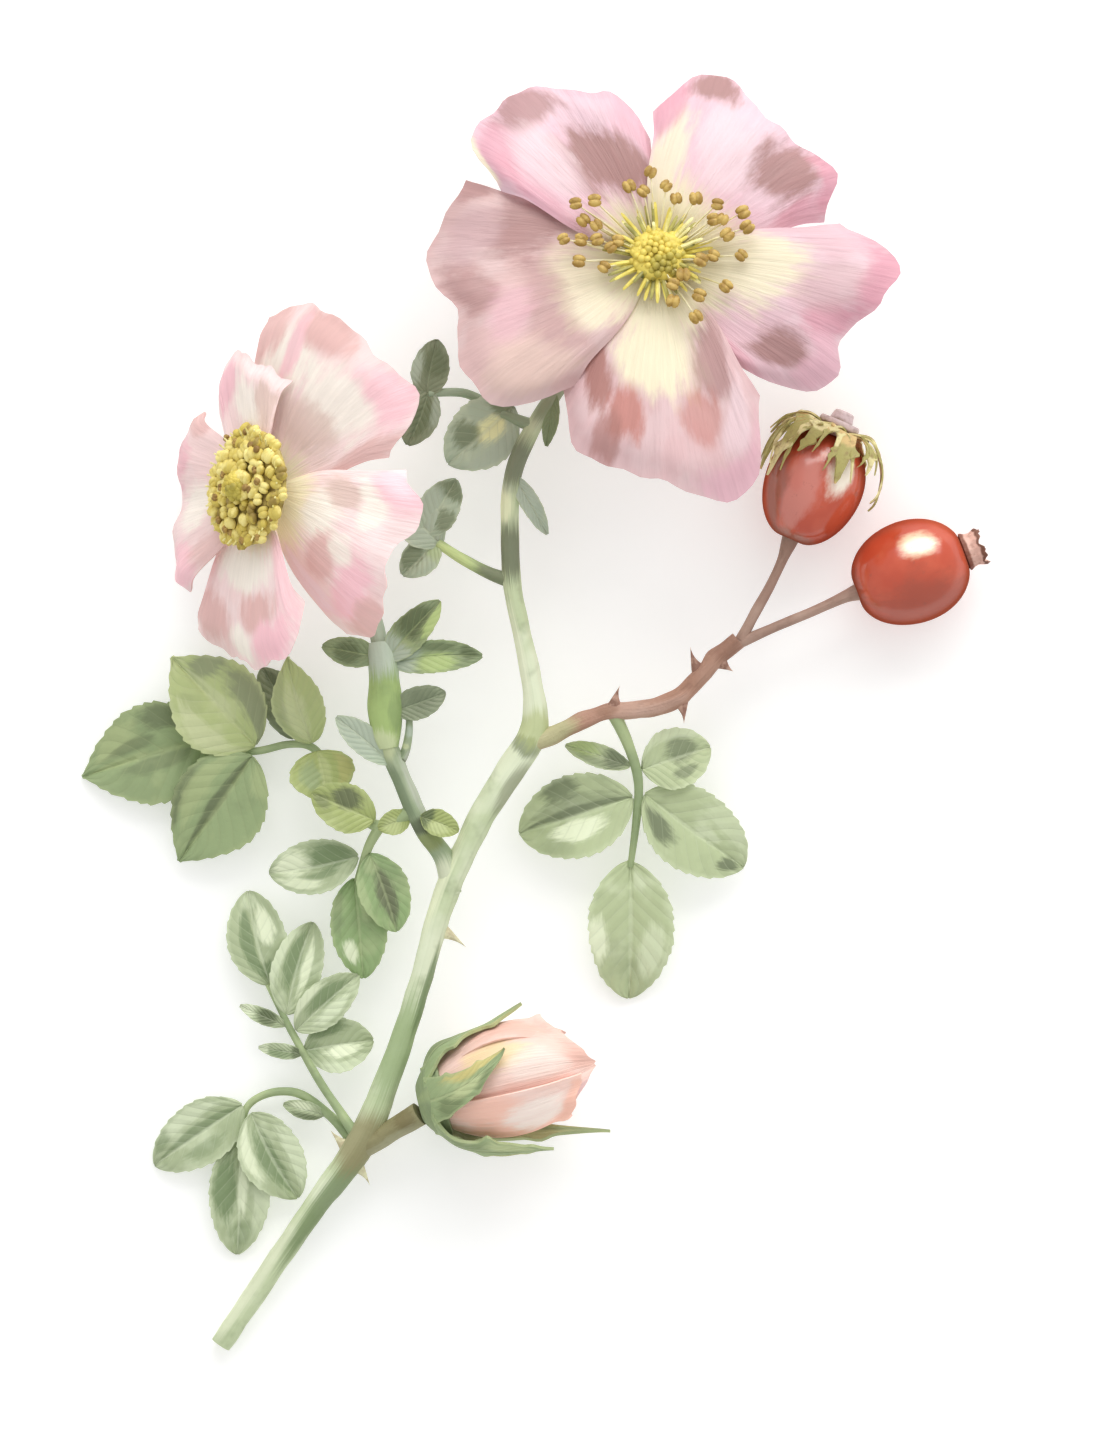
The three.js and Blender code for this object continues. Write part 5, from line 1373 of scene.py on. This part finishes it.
def style_bundle(flower, width, top):
    """A column of styles that ends in a dome of stigmas."""
    where = standing(flower["centre"], flower["axis"])

    def place(u, v):
        angle = full_turn(u)
        radius = through((0.0, 0.5, 0.48, 0.55, 0.8, 1.0, 0.92, 0.6, 0.0), v) * width
        height = through((-0.3, -0.2, 0.9, 2.0, 3.0, 3.7, 4.4, 4.8, 4.9), v) + top * v
        return around_axis(radius * (1 + 0.06 * math.sin(9 * angle)), angle, height)

    parts = [rolled("column", "style", 36, 24, place, where)]
    beads = []
    for look in ("style", "olive_style"):
        bpy.ops.mesh.primitive_ico_sphere_add(subdivisions=2, radius=0.5)
        beads.append(painted(bpy.context.active_object, look))
        beads[-1].data.uv_layers[0].name = SURFACE_MAP
    chance = random.Random(8)
    for index in range(STIGMAS):
        radius = width * 1.06 * math.sqrt((index + 0.5) / STIGMAS)
        height = 5.1 + top - 1.3 * (radius / width) ** 3 + chance.uniform(-0.2, 0.25)
        spot = around_axis(radius, index * GOLDEN_ANGLE, height)
        # Painted shade: the stigmas on the dome's lower right side take the darker style colour.
        shaded = spot.x * 0.6 - spot.y > width * chance.uniform(0.0, 0.5)
        size = Matrix.Scale(chance.uniform(0.8, 1.2), 4)
        parts.append(copied(beads[int(shaded)], where @ Matrix.Translation(spot) @ size))
    discard(*beads)
    return joined(f"{flower['name']}_styles", parts)


def strip(name, look, path, width, where, lobes=0.35, drift=0.0, thickness=0.4, seed=0.0):
    """A tapering sepal with side lobes, along a path in the XZ plane that may drift sideways."""
    points = [Vector((out, 0, up)) for out, up in path]

    def place(u, v):
        across = 1 - 2 * u
        taper = max((1 - v) ** 0.75, 0.04)
        side = max(0.0, math.sin(v * 17 + seed + (0.9 if across > 0 else 0.0))) ** 3
        half = width / 2 * (taper + lobes * side * smooth(0.12, 0.3, v) * smooth(0.93, 0.7, v))
        cupped = 0.12 * half * across * across
        ripple = 0.08 * width * math.sin(8 * v + seed) * across * taper
        spot = through(points, v) + Vector((0, across * half, 0))
        spot += path_side(points, v) * (cupped + ripple)
        return turned(drift * v * v) @ spot

    return painted(thicken(surface(name, 8, 40, place, where), thickness), look)


def open_calyx(flower):
    """The swelling under the petals with five sepals spread below them."""
    where = standing(flower["centre"], flower["axis"])
    urn = (
        (0.0, 1.2, 1.6, 2.4, 2.8, 2.6, 2.2, 2.4, 0.0),
        (-6.65, -6.6, -6.1, -5.0, -3.8, -2.4, -1.3, -0.8, -0.7),
    )
    parts = [lathe("urn", "sepal_leaf", (28, 24), urn, where)]
    for index in range(5):
        spin = where @ turned(flower["sepal_turn"] + 72 * index)
        parts.append(strip("sepal", "sepal_leaf", flower["sepal_path"], 4.2, spin, seed=index))
    return joined(f"{flower['name']}_calyx", parts)


# ------------------------------------------------------------------ the bud and the hips
def bud_radius(height):
    index = 1
    while index < len(BUD_OUTLINE) - 1 and BUD_OUTLINE[index][0] < height:
        index += 1
    (low, first), (high, second) = BUD_OUTLINE[index - 1], BUD_OUTLINE[index]
    return first + (second - first) * (height - low) / (high - low)


def soft_bud_radius(height):
    """The bud's outline without its corners."""
    return sum(bud_radius(height + step) for step in (-1.5, -0.75, 0, 0.75, 1.5)) / 5


def bud_petal(index, thickness):
    """A petal wrapped round the bud, one edge over the next petal."""
    turn, swell, crest, _, _ = BUD_PETALS[index]
    name = f"bud_petal_{index + 1}"

    def place(u, v):
        across = 2 * u - 1
        top = through(crest, u) + 0.2 * math.sin(17 * across + index)
        height = mixed(BUD_PETAL_BOTTOM, top, v)
        angle = math.radians(turn + BUD_HALF_SPAN * across)
        flare = 0.8 * smooth(0.84, 1.0, v) ** 2 + 0.5 * smooth(0.75, 1.0, -across) * v
        crease = 0.2 * math.sin(7 * across + 2.5 * v + index) * v
        rise = swell * math.sin(math.pi * v) * smooth(-1.0, 0.0, across)
        radius = soft_bud_radius(height) - 0.8 - 0.6 * across + flare + crease + rise
        resting = (BUD_BASE.z - 0.5) / max(0.1, math.cos(angle))
        return around_axis(min(radius, resting), angle, height)

    piece = thicken(surface(name, 28, 28, place, standing(BUD_BASE, BUD_AXIS)), thickness)
    return painted(piece, name)


def bud_heart():
    """The inner petals, rolled to a point with a spiral edge."""
    def place(u, v):
        turn = u % 1.0
        height = mixed(3.4, 21.4, v)
        ends = smooth(0.0, 0.08, v) * smooth(1.02, 0.86, v)
        ledge = 0.8 * ((turn * 2 + v * 0.7) % 1.0)
        radius = max(soft_bud_radius(height) - 2.4 + ledge, 0.0) * ends
        return around_axis(radius if v < 1 else 0.0, full_turn(u), height)

    return rolled("bud_heart", "bud_heart", 48, 36, place, standing(BUD_BASE, BUD_AXIS))


def bud_calyx():
    where = standing(BUD_BASE, BUD_AXIS)
    cup = ((0.0, 2.0, 3.1, 4.3, 4.7, 4.7, 0.0), (-0.6, -0.5, 0.0, 1.0, 2.2, 3.0, 3.1))
    parts = [lathe("cup", "deep_leaf", (32, 20), cup, where)]
    for index, (turn, drift, width, lobes, path) in enumerate(BUD_SEPALS):
        look = f"bud_sepal_{int(index == 1)}"
        spin = where @ turned(turn)
        parts.append(strip("sepal", look, path, width, spin, lobes, drift, 0.4, index * 3.0))
    return joined("bud_calyx", parts)


def hip_body(name, hip, seed):
    base, axis, length, radius, taper = hip

    def place(u, v):
        angle = full_turn(u)
        swing = math.pi * v
        out = radius * (1 + taper * (2 * v - 1)) * math.sin(swing) ** 0.86 if 0 < v < 1 else 0.0
        away = around_axis(1, angle, 0)
        out *= 1 + 0.018 * noise.noise(away * 1.6 + Vector((seed, v * 3, 0)))
        dimple = 0.5 * math.exp(-((out / 1.6) ** 2)) * (1 if v < 0.5 else -1)
        return away * out + Vector((0, 0, (1 - math.cos(swing)) * length / 2 + dimple))

    return rolled(name, name, 64, 48, place, standing(base, axis))


def upper_crown():
    """The dried disc with ragged sepals bent back round the hip's shoulders."""
    base, axis, length, _, _ = UPPER_HIP
    top = length + 0.1
    where = standing(base, axis)
    disc = (
        (0.0, 2.1, 2.4, 2.7, 2.5, 1.7, 1.4, 1.1, 0.0),
        (-0.5, -0.5, 0.4, 1.1, 1.7, 1.4, 2.4, 3.0, 3.1),
    )
    parts = [lathe("disc", "crown", (30, 26), disc, where, top, 5, 0.06)]
    for index, (turn, drift, width, path) in enumerate(DRY_SEPALS):
        path = [(out, top + up) for out, up in path]
        look = DRIED[index % 3]
        spin = where @ turned(turn)
        parts.append(strip("wisp", look, path, width, spin, 0.55, drift, 0.24, index * 2.0))
        path = [(out + 0.15, top + (up - top) * 0.86) for out, up in path]
        for fork, lean in enumerate((-9, 8)):
            look = DRIED[(index + fork + 1) % 3]
            spin = where @ turned(turn + lean)
            seed = index + fork * 2.0
            parts.append(strip("wisp", look, path, 1.0, spin, 0.6, drift + lean, 0.2, seed))
    return joined("upper_hip_calyx", parts)


def lower_crown():
    """The dry stub left where the sepals fell, with a broken edge."""
    base, axis, length, _, _ = LOWER_HIP
    top = length - 0.1

    def place(u, v):
        angle = full_turn(u)
        radius = through((0.0, 2.3, 2.2, 2.1, 2.3, 2.4, 1.8, 0.0), v)
        jagged = 0.25 * math.sin(5 * angle + 1.0) + 0.2 * math.sin(11 * angle)
        height = through((-0.3, -0.2, 0.5, 1.1, 1.7, 2.3, 1.8, 1.2), v)
        height += jagged * smooth(0.5, 0.7, v) * smooth(0.95, 0.8, v)
        return around_axis(radius * (1 + 0.04 * math.sin(13 * angle)), angle, top + height)

    return rolled("lower_hip_calyx", "stub", 44, 24, place, standing(base, axis))


# ------------------------------------------------------------------ settings
def colour_setting(name, description, default):
    return bpy.props.FloatVectorProperty(
        name=name, description=description, subtype="COLOR", size=4, default=default, min=0, max=1)


class PetalSettings(bpy.types.PropertyGroup):
    pink: colour_setting("Pink", "Colour of the large flower's petals", tint(0.945, 0.785, 0.83))
    dusky: colour_setting(
        "Dusky Pink", "Colour of the large flower's shaded petals", tint(0.875, 0.73, 0.72))
    pale: colour_setting("Pale Pink", "Colour of the side flower's petals", tint(0.955, 0.84, 0.83))
    bud: colour_setting("Bud", "Colour of the bud's petals", tint(0.965, 0.82, 0.77))
    thickness: bpy.props.FloatProperty(
        name="Thickness", description="Thickness of a petal in millimetres",
        default=0.3, min=0.1, max=1)
    ruffle: bpy.props.FloatProperty(
        name="Ruffle", description="Height of the folds in a petal in millimetres",
        default=0.9, min=0, max=3)


class LeafSettings(bpy.types.PropertyGroup):
    thickness: bpy.props.FloatProperty(
        name="Thickness", description="Thickness of a leaflet in millimetres",
        default=0.28, min=0.1, max=1)
    tooth_depth: bpy.props.FloatProperty(
        name="Tooth Depth", description="Depth of a tooth as a share of the leaflet's width",
        default=0.03, min=0, max=0.2, subtype="FACTOR")


class HipSettings(bpy.types.PropertyGroup):
    red: colour_setting("Red", "Main colour of a ripe hip", tint(0.745, 0.29, 0.185))
    bright: colour_setting(
        "Bright Red", "Colour of a hip's sunny patches", tint(0.79, 0.345, 0.235))
    # The dark red is also painted as shade at a hip's rim, where the skin darkens towards its outline.
    dark: colour_setting(
        "Dark Red", "Colour of a hip's ends, rim and specks", tint(0.55, 0.30, 0.23))


class StageSettings(bpy.types.PropertyGroup):
    floor: colour_setting(
        "Floor", "Colour of the surface that the sprig lies on", tint(0.90, 0.90, 0.895))
    glow: bpy.props.FloatProperty(
        name="Floor Glow", description="Light given off by the surface, to keep shadows pale",
        default=0.36, min=0, max=2)
    key: bpy.props.FloatProperty(
        name="Key Light", description="Power of the soft key light in watts",
        default=5.2, min=0, max=50)
    shine: bpy.props.FloatProperty(
        name="Shine", description="Power of the light seen only in the highlights, in watts",
        default=15.0, min=0, max=50)
    fill: bpy.props.FloatProperty(
        name="Fill", description="Strength of the even light from all round",
        default=0.76, min=0, max=3)
    lens: bpy.props.FloatProperty(
        name="Lens", description="Focal length of the camera",
        default=300, min=50, max=800, unit="CAMERA")


# ------------------------------------------------------------------ operators
class SPRIG_OT_stems(bpy.types.Operator):
    """Models the stems and stalks with their prickles"""

    bl_idname = "sprig.stems"
    bl_label = "Stems"

    def execute(self, context):
        settings = context.scene.sprig_leaves
        stems = {
            "main_stem": ("main_stem", "green_bark", 0.05),
            "side_stem": ("side_stem", "green_bark", 0.05),
            "hip_branch": ("hip_branch", "brown_bark", 0.16),
            "upper_hip_stalk": ("hip_stalk", "brown_bark", 0.08),
            "lower_hip_stalk": ("hip_stalk", "brown_bark", 0.05),
            "bud_stalk": ("bud_stalk", "bud_bark", 0.05),
        }
        for name, (bark, slot, lumps) in stems.items():
            route = ROUTES[name]
            thorn = "brown_prickle" if name == "hip_branch" else "prickle"
            parts = [stem(name, bark, STEM_SIDES, lumps, len(name))]
            parts += [prickle(route, thorn, *shape) for shape in PRICKLES.get(name, ())]
            if name == "main_stem":
                self.cut_end(parts[0], route)
                for base, tip, width, look in STEM_STIPULES:
                    parts.append(blade("stipule", f"{look}_leaf", base, tip, width, settings))
            settle(joined(name, parts), name)
        return {"FINISHED"}

    @staticmethod
    def cut_end(piece, route):
        """Sinks the cut face a little inside a rim of bark and gives it the wood's colour."""
        selected_alone(painted(piece, "wood_end"))
        start = IN_FRAME @ Vector(route[0][:3])
        face = min(piece.data.polygons, key=lambda item: (item.center - start).length).index
        bpy.ops.object.mode_set(mode="EDIT")
        bpy.ops.mesh.select_all(action="DESELECT")
        bpy.ops.object.mode_set(mode="OBJECT")
        piece.data.polygons[face].select = True
        bpy.ops.object.mode_set(mode="EDIT")
        bpy.ops.mesh.select_mode(type="FACE")
        bpy.ops.mesh.inset(thickness=0.25 * MM, depth=-0.12 * MM)
        bpy.context.object.active_material_index = 1
        bpy.ops.object.material_slot_assign()
        bpy.ops.mesh.inset(thickness=0.6 * MM, depth=-0.1 * MM)
        bpy.ops.object.mode_set(mode="OBJECT")


class SPRIG_OT_leaf_stalks(bpy.types.Operator):
    """Models the leaf stalks with the small leaflets and stipules that grew on them"""

    bl_idname = "sprig.leaf_stalks"
    bl_label = "Leaf Stalks"

    def execute(self, context):
        for name in ("leaf_a_stalk", "leaf_b_stalk", "leaf_c_stalk", "leaf_d_stalk"):
            parts = [stem(name, "leaf_stalk")]
            if name == "leaf_b_stalk":
                parts.append(stem("leaf_e_stalk", "leaf_stalk"))
            parts += grown_blades(name, context.scene.sprig_leaves)
            settle(joined(name, parts), name)
        return {"FINISHED"}


class SPRIG_OT_leaflets(bpy.types.Operator):
    """Models the separate leaflets"""

    bl_idname = "sprig.leaflets"
    bl_label = "Leaflets"

    def execute(self, context):
        settings = context.scene.sprig_leaves
        for index, (name, (base, tip, width, look, _)) in enumerate(LEAFLETS.items()):
            pointed = look in ("olive", "olive_deep")
            piece = blade(name, name, base, tip, width, settings, pointed, index * 1.7)
            settle(piece, name)
        return {"FINISHED"}


class SPRIG_OT_whole_leaves(bpy.types.Operator):
    """Models the upper leaf, the middle leaf and the bracts round the side stem"""

    bl_idname = "sprig.whole_leaves"
    bl_label = "Whole Leaves"

    def execute(self, context):
        wholes = {
            "upper_leaf": ("upper_stalk", "leaf"),
            "middle_leaf": ("middle_stalk", "leaf"),
            "bracts": ("sheath", "bract"),
        }
        for name, (stalk, slot) in wholes.items():
            parts = [stem(name, stalk, 14)]
            if name == "bracts":
                parts.append(stem("bract_stalk", "side_stem"))
            parts += grown_blades(name, context.scene.sprig_leaves)
            settle(joined(name, parts), name)
        return {"FINISHED"}


class SPRIG_OT_petals(bpy.types.Operator):
    """Models the petals of both open flowers"""

    bl_idname = "sprig.petals"
    bl_label = "Petals"

    def execute(self, context):
        settings = context.scene.sprig_petals
        for flower, slot in ((LARGE_FLOWER, "pink_petal"), (SIDE_FLOWER, "pale_petal")):
            for index, (side, (shape, _, _, _)) in enumerate(flower["petals"].items()):
                name = petal_name(flower, side)
                settle(petal(name, flower, shape, settings, index * 1.9 + 0.7), name)
        return {"FINISHED"}


class SPRIG_OT_flower_hearts(bpy.types.Operator):
    """Models the stamens and styles of both open flowers"""

    bl_idname = "sprig.flower_hearts"
    bl_label = "Stamens and Styles"

    def execute(self, context):
        settle(large_stamens(), "large_flower_stamens")
        settle(side_stamens(), "side_flower_stamens")
        settle(style_bundle(LARGE_FLOWER, 3.3, -0.6), "large_flower_styles")
        settle(style_bundle(SIDE_FLOWER, 1.9, 0.8), "side_flower_styles")
        return {"FINISHED"}


class SPRIG_OT_calyces(bpy.types.Operator):
    """Models the calyx under each open flower"""

    bl_idname = "sprig.calyces"
    bl_label = "Calyces"

    def execute(self, context):
        for flower in (LARGE_FLOWER, SIDE_FLOWER):
            settle(open_calyx(flower), f"{flower['name']}_calyx")
        return {"FINISHED"}


class SPRIG_OT_bud(bpy.types.Operator):
    """Models the bud with its wrapped petals and its calyx"""

    bl_idname = "sprig.bud"
    bl_label = "Bud"

    def execute(self, context):
        thickness = context.scene.sprig_petals.thickness
        for index in range(len(BUD_PETALS)):
            settle(bud_petal(index, thickness), f"bud_petal_{index + 1}")
        settle(bud_heart(), "bud_heart")
        settle(bud_calyx(), "bud_calyx")
        return {"FINISHED"}


class SPRIG_OT_hips(bpy.types.Operator):
    """Models the two ripe hips with their dried calyces"""

    bl_idname = "sprig.hips"
    bl_label = "Hips"

    def execute(self, context):
        settle(hip_body("upper_hip", UPPER_HIP, 2.0), "upper_hip")
        settle(hip_body("lower_hip", LOWER_HIP, 5.0), "lower_hip")
        settle(upper_crown(), "upper_hip_calyx")
        settle(lower_crown(), "lower_hip_calyx")
        return {"FINISHED"}


class SPRIG_OT_stage(bpy.types.Operator):
    """Adds the floor, the lights and the camera that looks down on the sprig"""

    bl_idname = "sprig.stage"
    bl_label = "Stage"

    def execute(self, context):
        settings = context.scene.sprig_stage
        bpy.ops.object.select_all(action="DESELECT")
        bpy.ops.mesh.primitive_plane_add(size=FLOOR_SIZE)
        floor = context.active_object
        floor.name = "floor"
        paper = powder_finish(tuple(settings.floor), tint(0.89, 0.89, 0.885), 60.0)
        glow = {"Emission_Color": WHITE, "Emission_Strength": settings.glow}
        floor.data.materials.append(material("floor", paper, 0.9, Specular_IOR_Level=0.1, **glow))
        self.add_softbox("key", settings.key, 1.0)
        shine = self.add_softbox("shine", settings.shine, SHINE_SHARE)
        shine.data.shape = "ELLIPSE"
        shine.data.color = SHINE_COLOUR
        shine.visible_diffuse = False
        world = bpy.data.worlds.new("even_light")
        context.scene.world = world
        world.use_nodes = True
        background = world.node_tree.nodes["Background"]
        background.inputs["Color"].default_value = WHITE
        background.inputs["Strength"].default_value = settings.fill
        context.scene.view_settings.view_transform = "Standard"
        self.add_camera(context, settings.lens)
        return {"FINISHED"}

    @staticmethod
    def add_softbox(name, power, share):
        """A wide, low softbox beyond the sprig's top, its right end the lower one."""
        bpy.ops.object.light_add(type="AREA", location=SOFTBOX_PLACE)
        light = bpy.context.active_object
        light.name = name
        light.data.shape = "RECTANGLE"
        light.data.size, light.data.size_y = (side * share for side in SOFTBOX_SIZE)
        light.data.energy = power
        aim = (-light.location).to_track_quat("-Z", "Y").to_matrix().to_4x4()
        light.rotation_euler = (aim @ turned(SOFTBOX_LEAN)).to_euler()
        light.visible_camera = False
        return light

    @staticmethod
    def add_camera(context, lens):
        height = VIEW_HEIGHT * MM * lens / SENSOR
        x, y = (value * MM for value in VIEW_MIDDLE)
        bpy.ops.object.camera_add(location=(x, y, height), rotation=(0, 0, 0))
        camera = context.active_object
        camera.data.sensor_width = SENSOR
        camera.data.lens = lens
        camera.data.clip_start = 0.01
        camera.data.clip_end = 100
        context.scene.camera = camera


OPERATORS = (
    SPRIG_OT_stems, SPRIG_OT_leaf_stalks, SPRIG_OT_leaflets, SPRIG_OT_whole_leaves, SPRIG_OT_petals,
    SPRIG_OT_flower_hearts, SPRIG_OT_calyces, SPRIG_OT_bud, SPRIG_OT_hips, SPRIG_OT_stage,
)
SETTINGS = {
    "sprig_petals": PetalSettings,
    "sprig_leaves": LeafSettings,
    "sprig_hips": HipSettings,
    "sprig_stage": StageSettings,
}


class SPRIG_PT_panel(bpy.types.Panel):
    """Lists the settings and the steps that model the sprig"""

    bl_label = "Dog Rose Sprig"
    bl_idname = "SPRIG_PT_panel"
    bl_space_type = "VIEW_3D"
    bl_region_type = "UI"
    bl_category = "Sprig"

    def draw(self, context):
        for name, group in SETTINGS.items():
            box = self.layout.box()
            for setting in group.__annotations__:
                box.prop(getattr(context.scene, name), setting)
        for operator in OPERATORS:
            self.layout.operator(operator.bl_idname)


def register():
    for name, group in SETTINGS.items():
        bpy.utils.register_class(group)
        setattr(bpy.types.Scene, name, bpy.props.PointerProperty(type=group))
    for item in (*OPERATORS, SPRIG_PT_panel):
        bpy.utils.register_class(item)


def unregister():
    for item in (SPRIG_PT_panel, *reversed(OPERATORS)):
        bpy.utils.unregister_class(item)
    for name, group in SETTINGS.items():
        delattr(bpy.types.Scene, name)
        bpy.utils.unregister_class(group)


def main():
    register()
    for operator in OPERATORS:
        step = operator.bl_idname.split(".")[1]
        getattr(bpy.ops.sprig, step)()


if __name__ == "__main__":
    main()
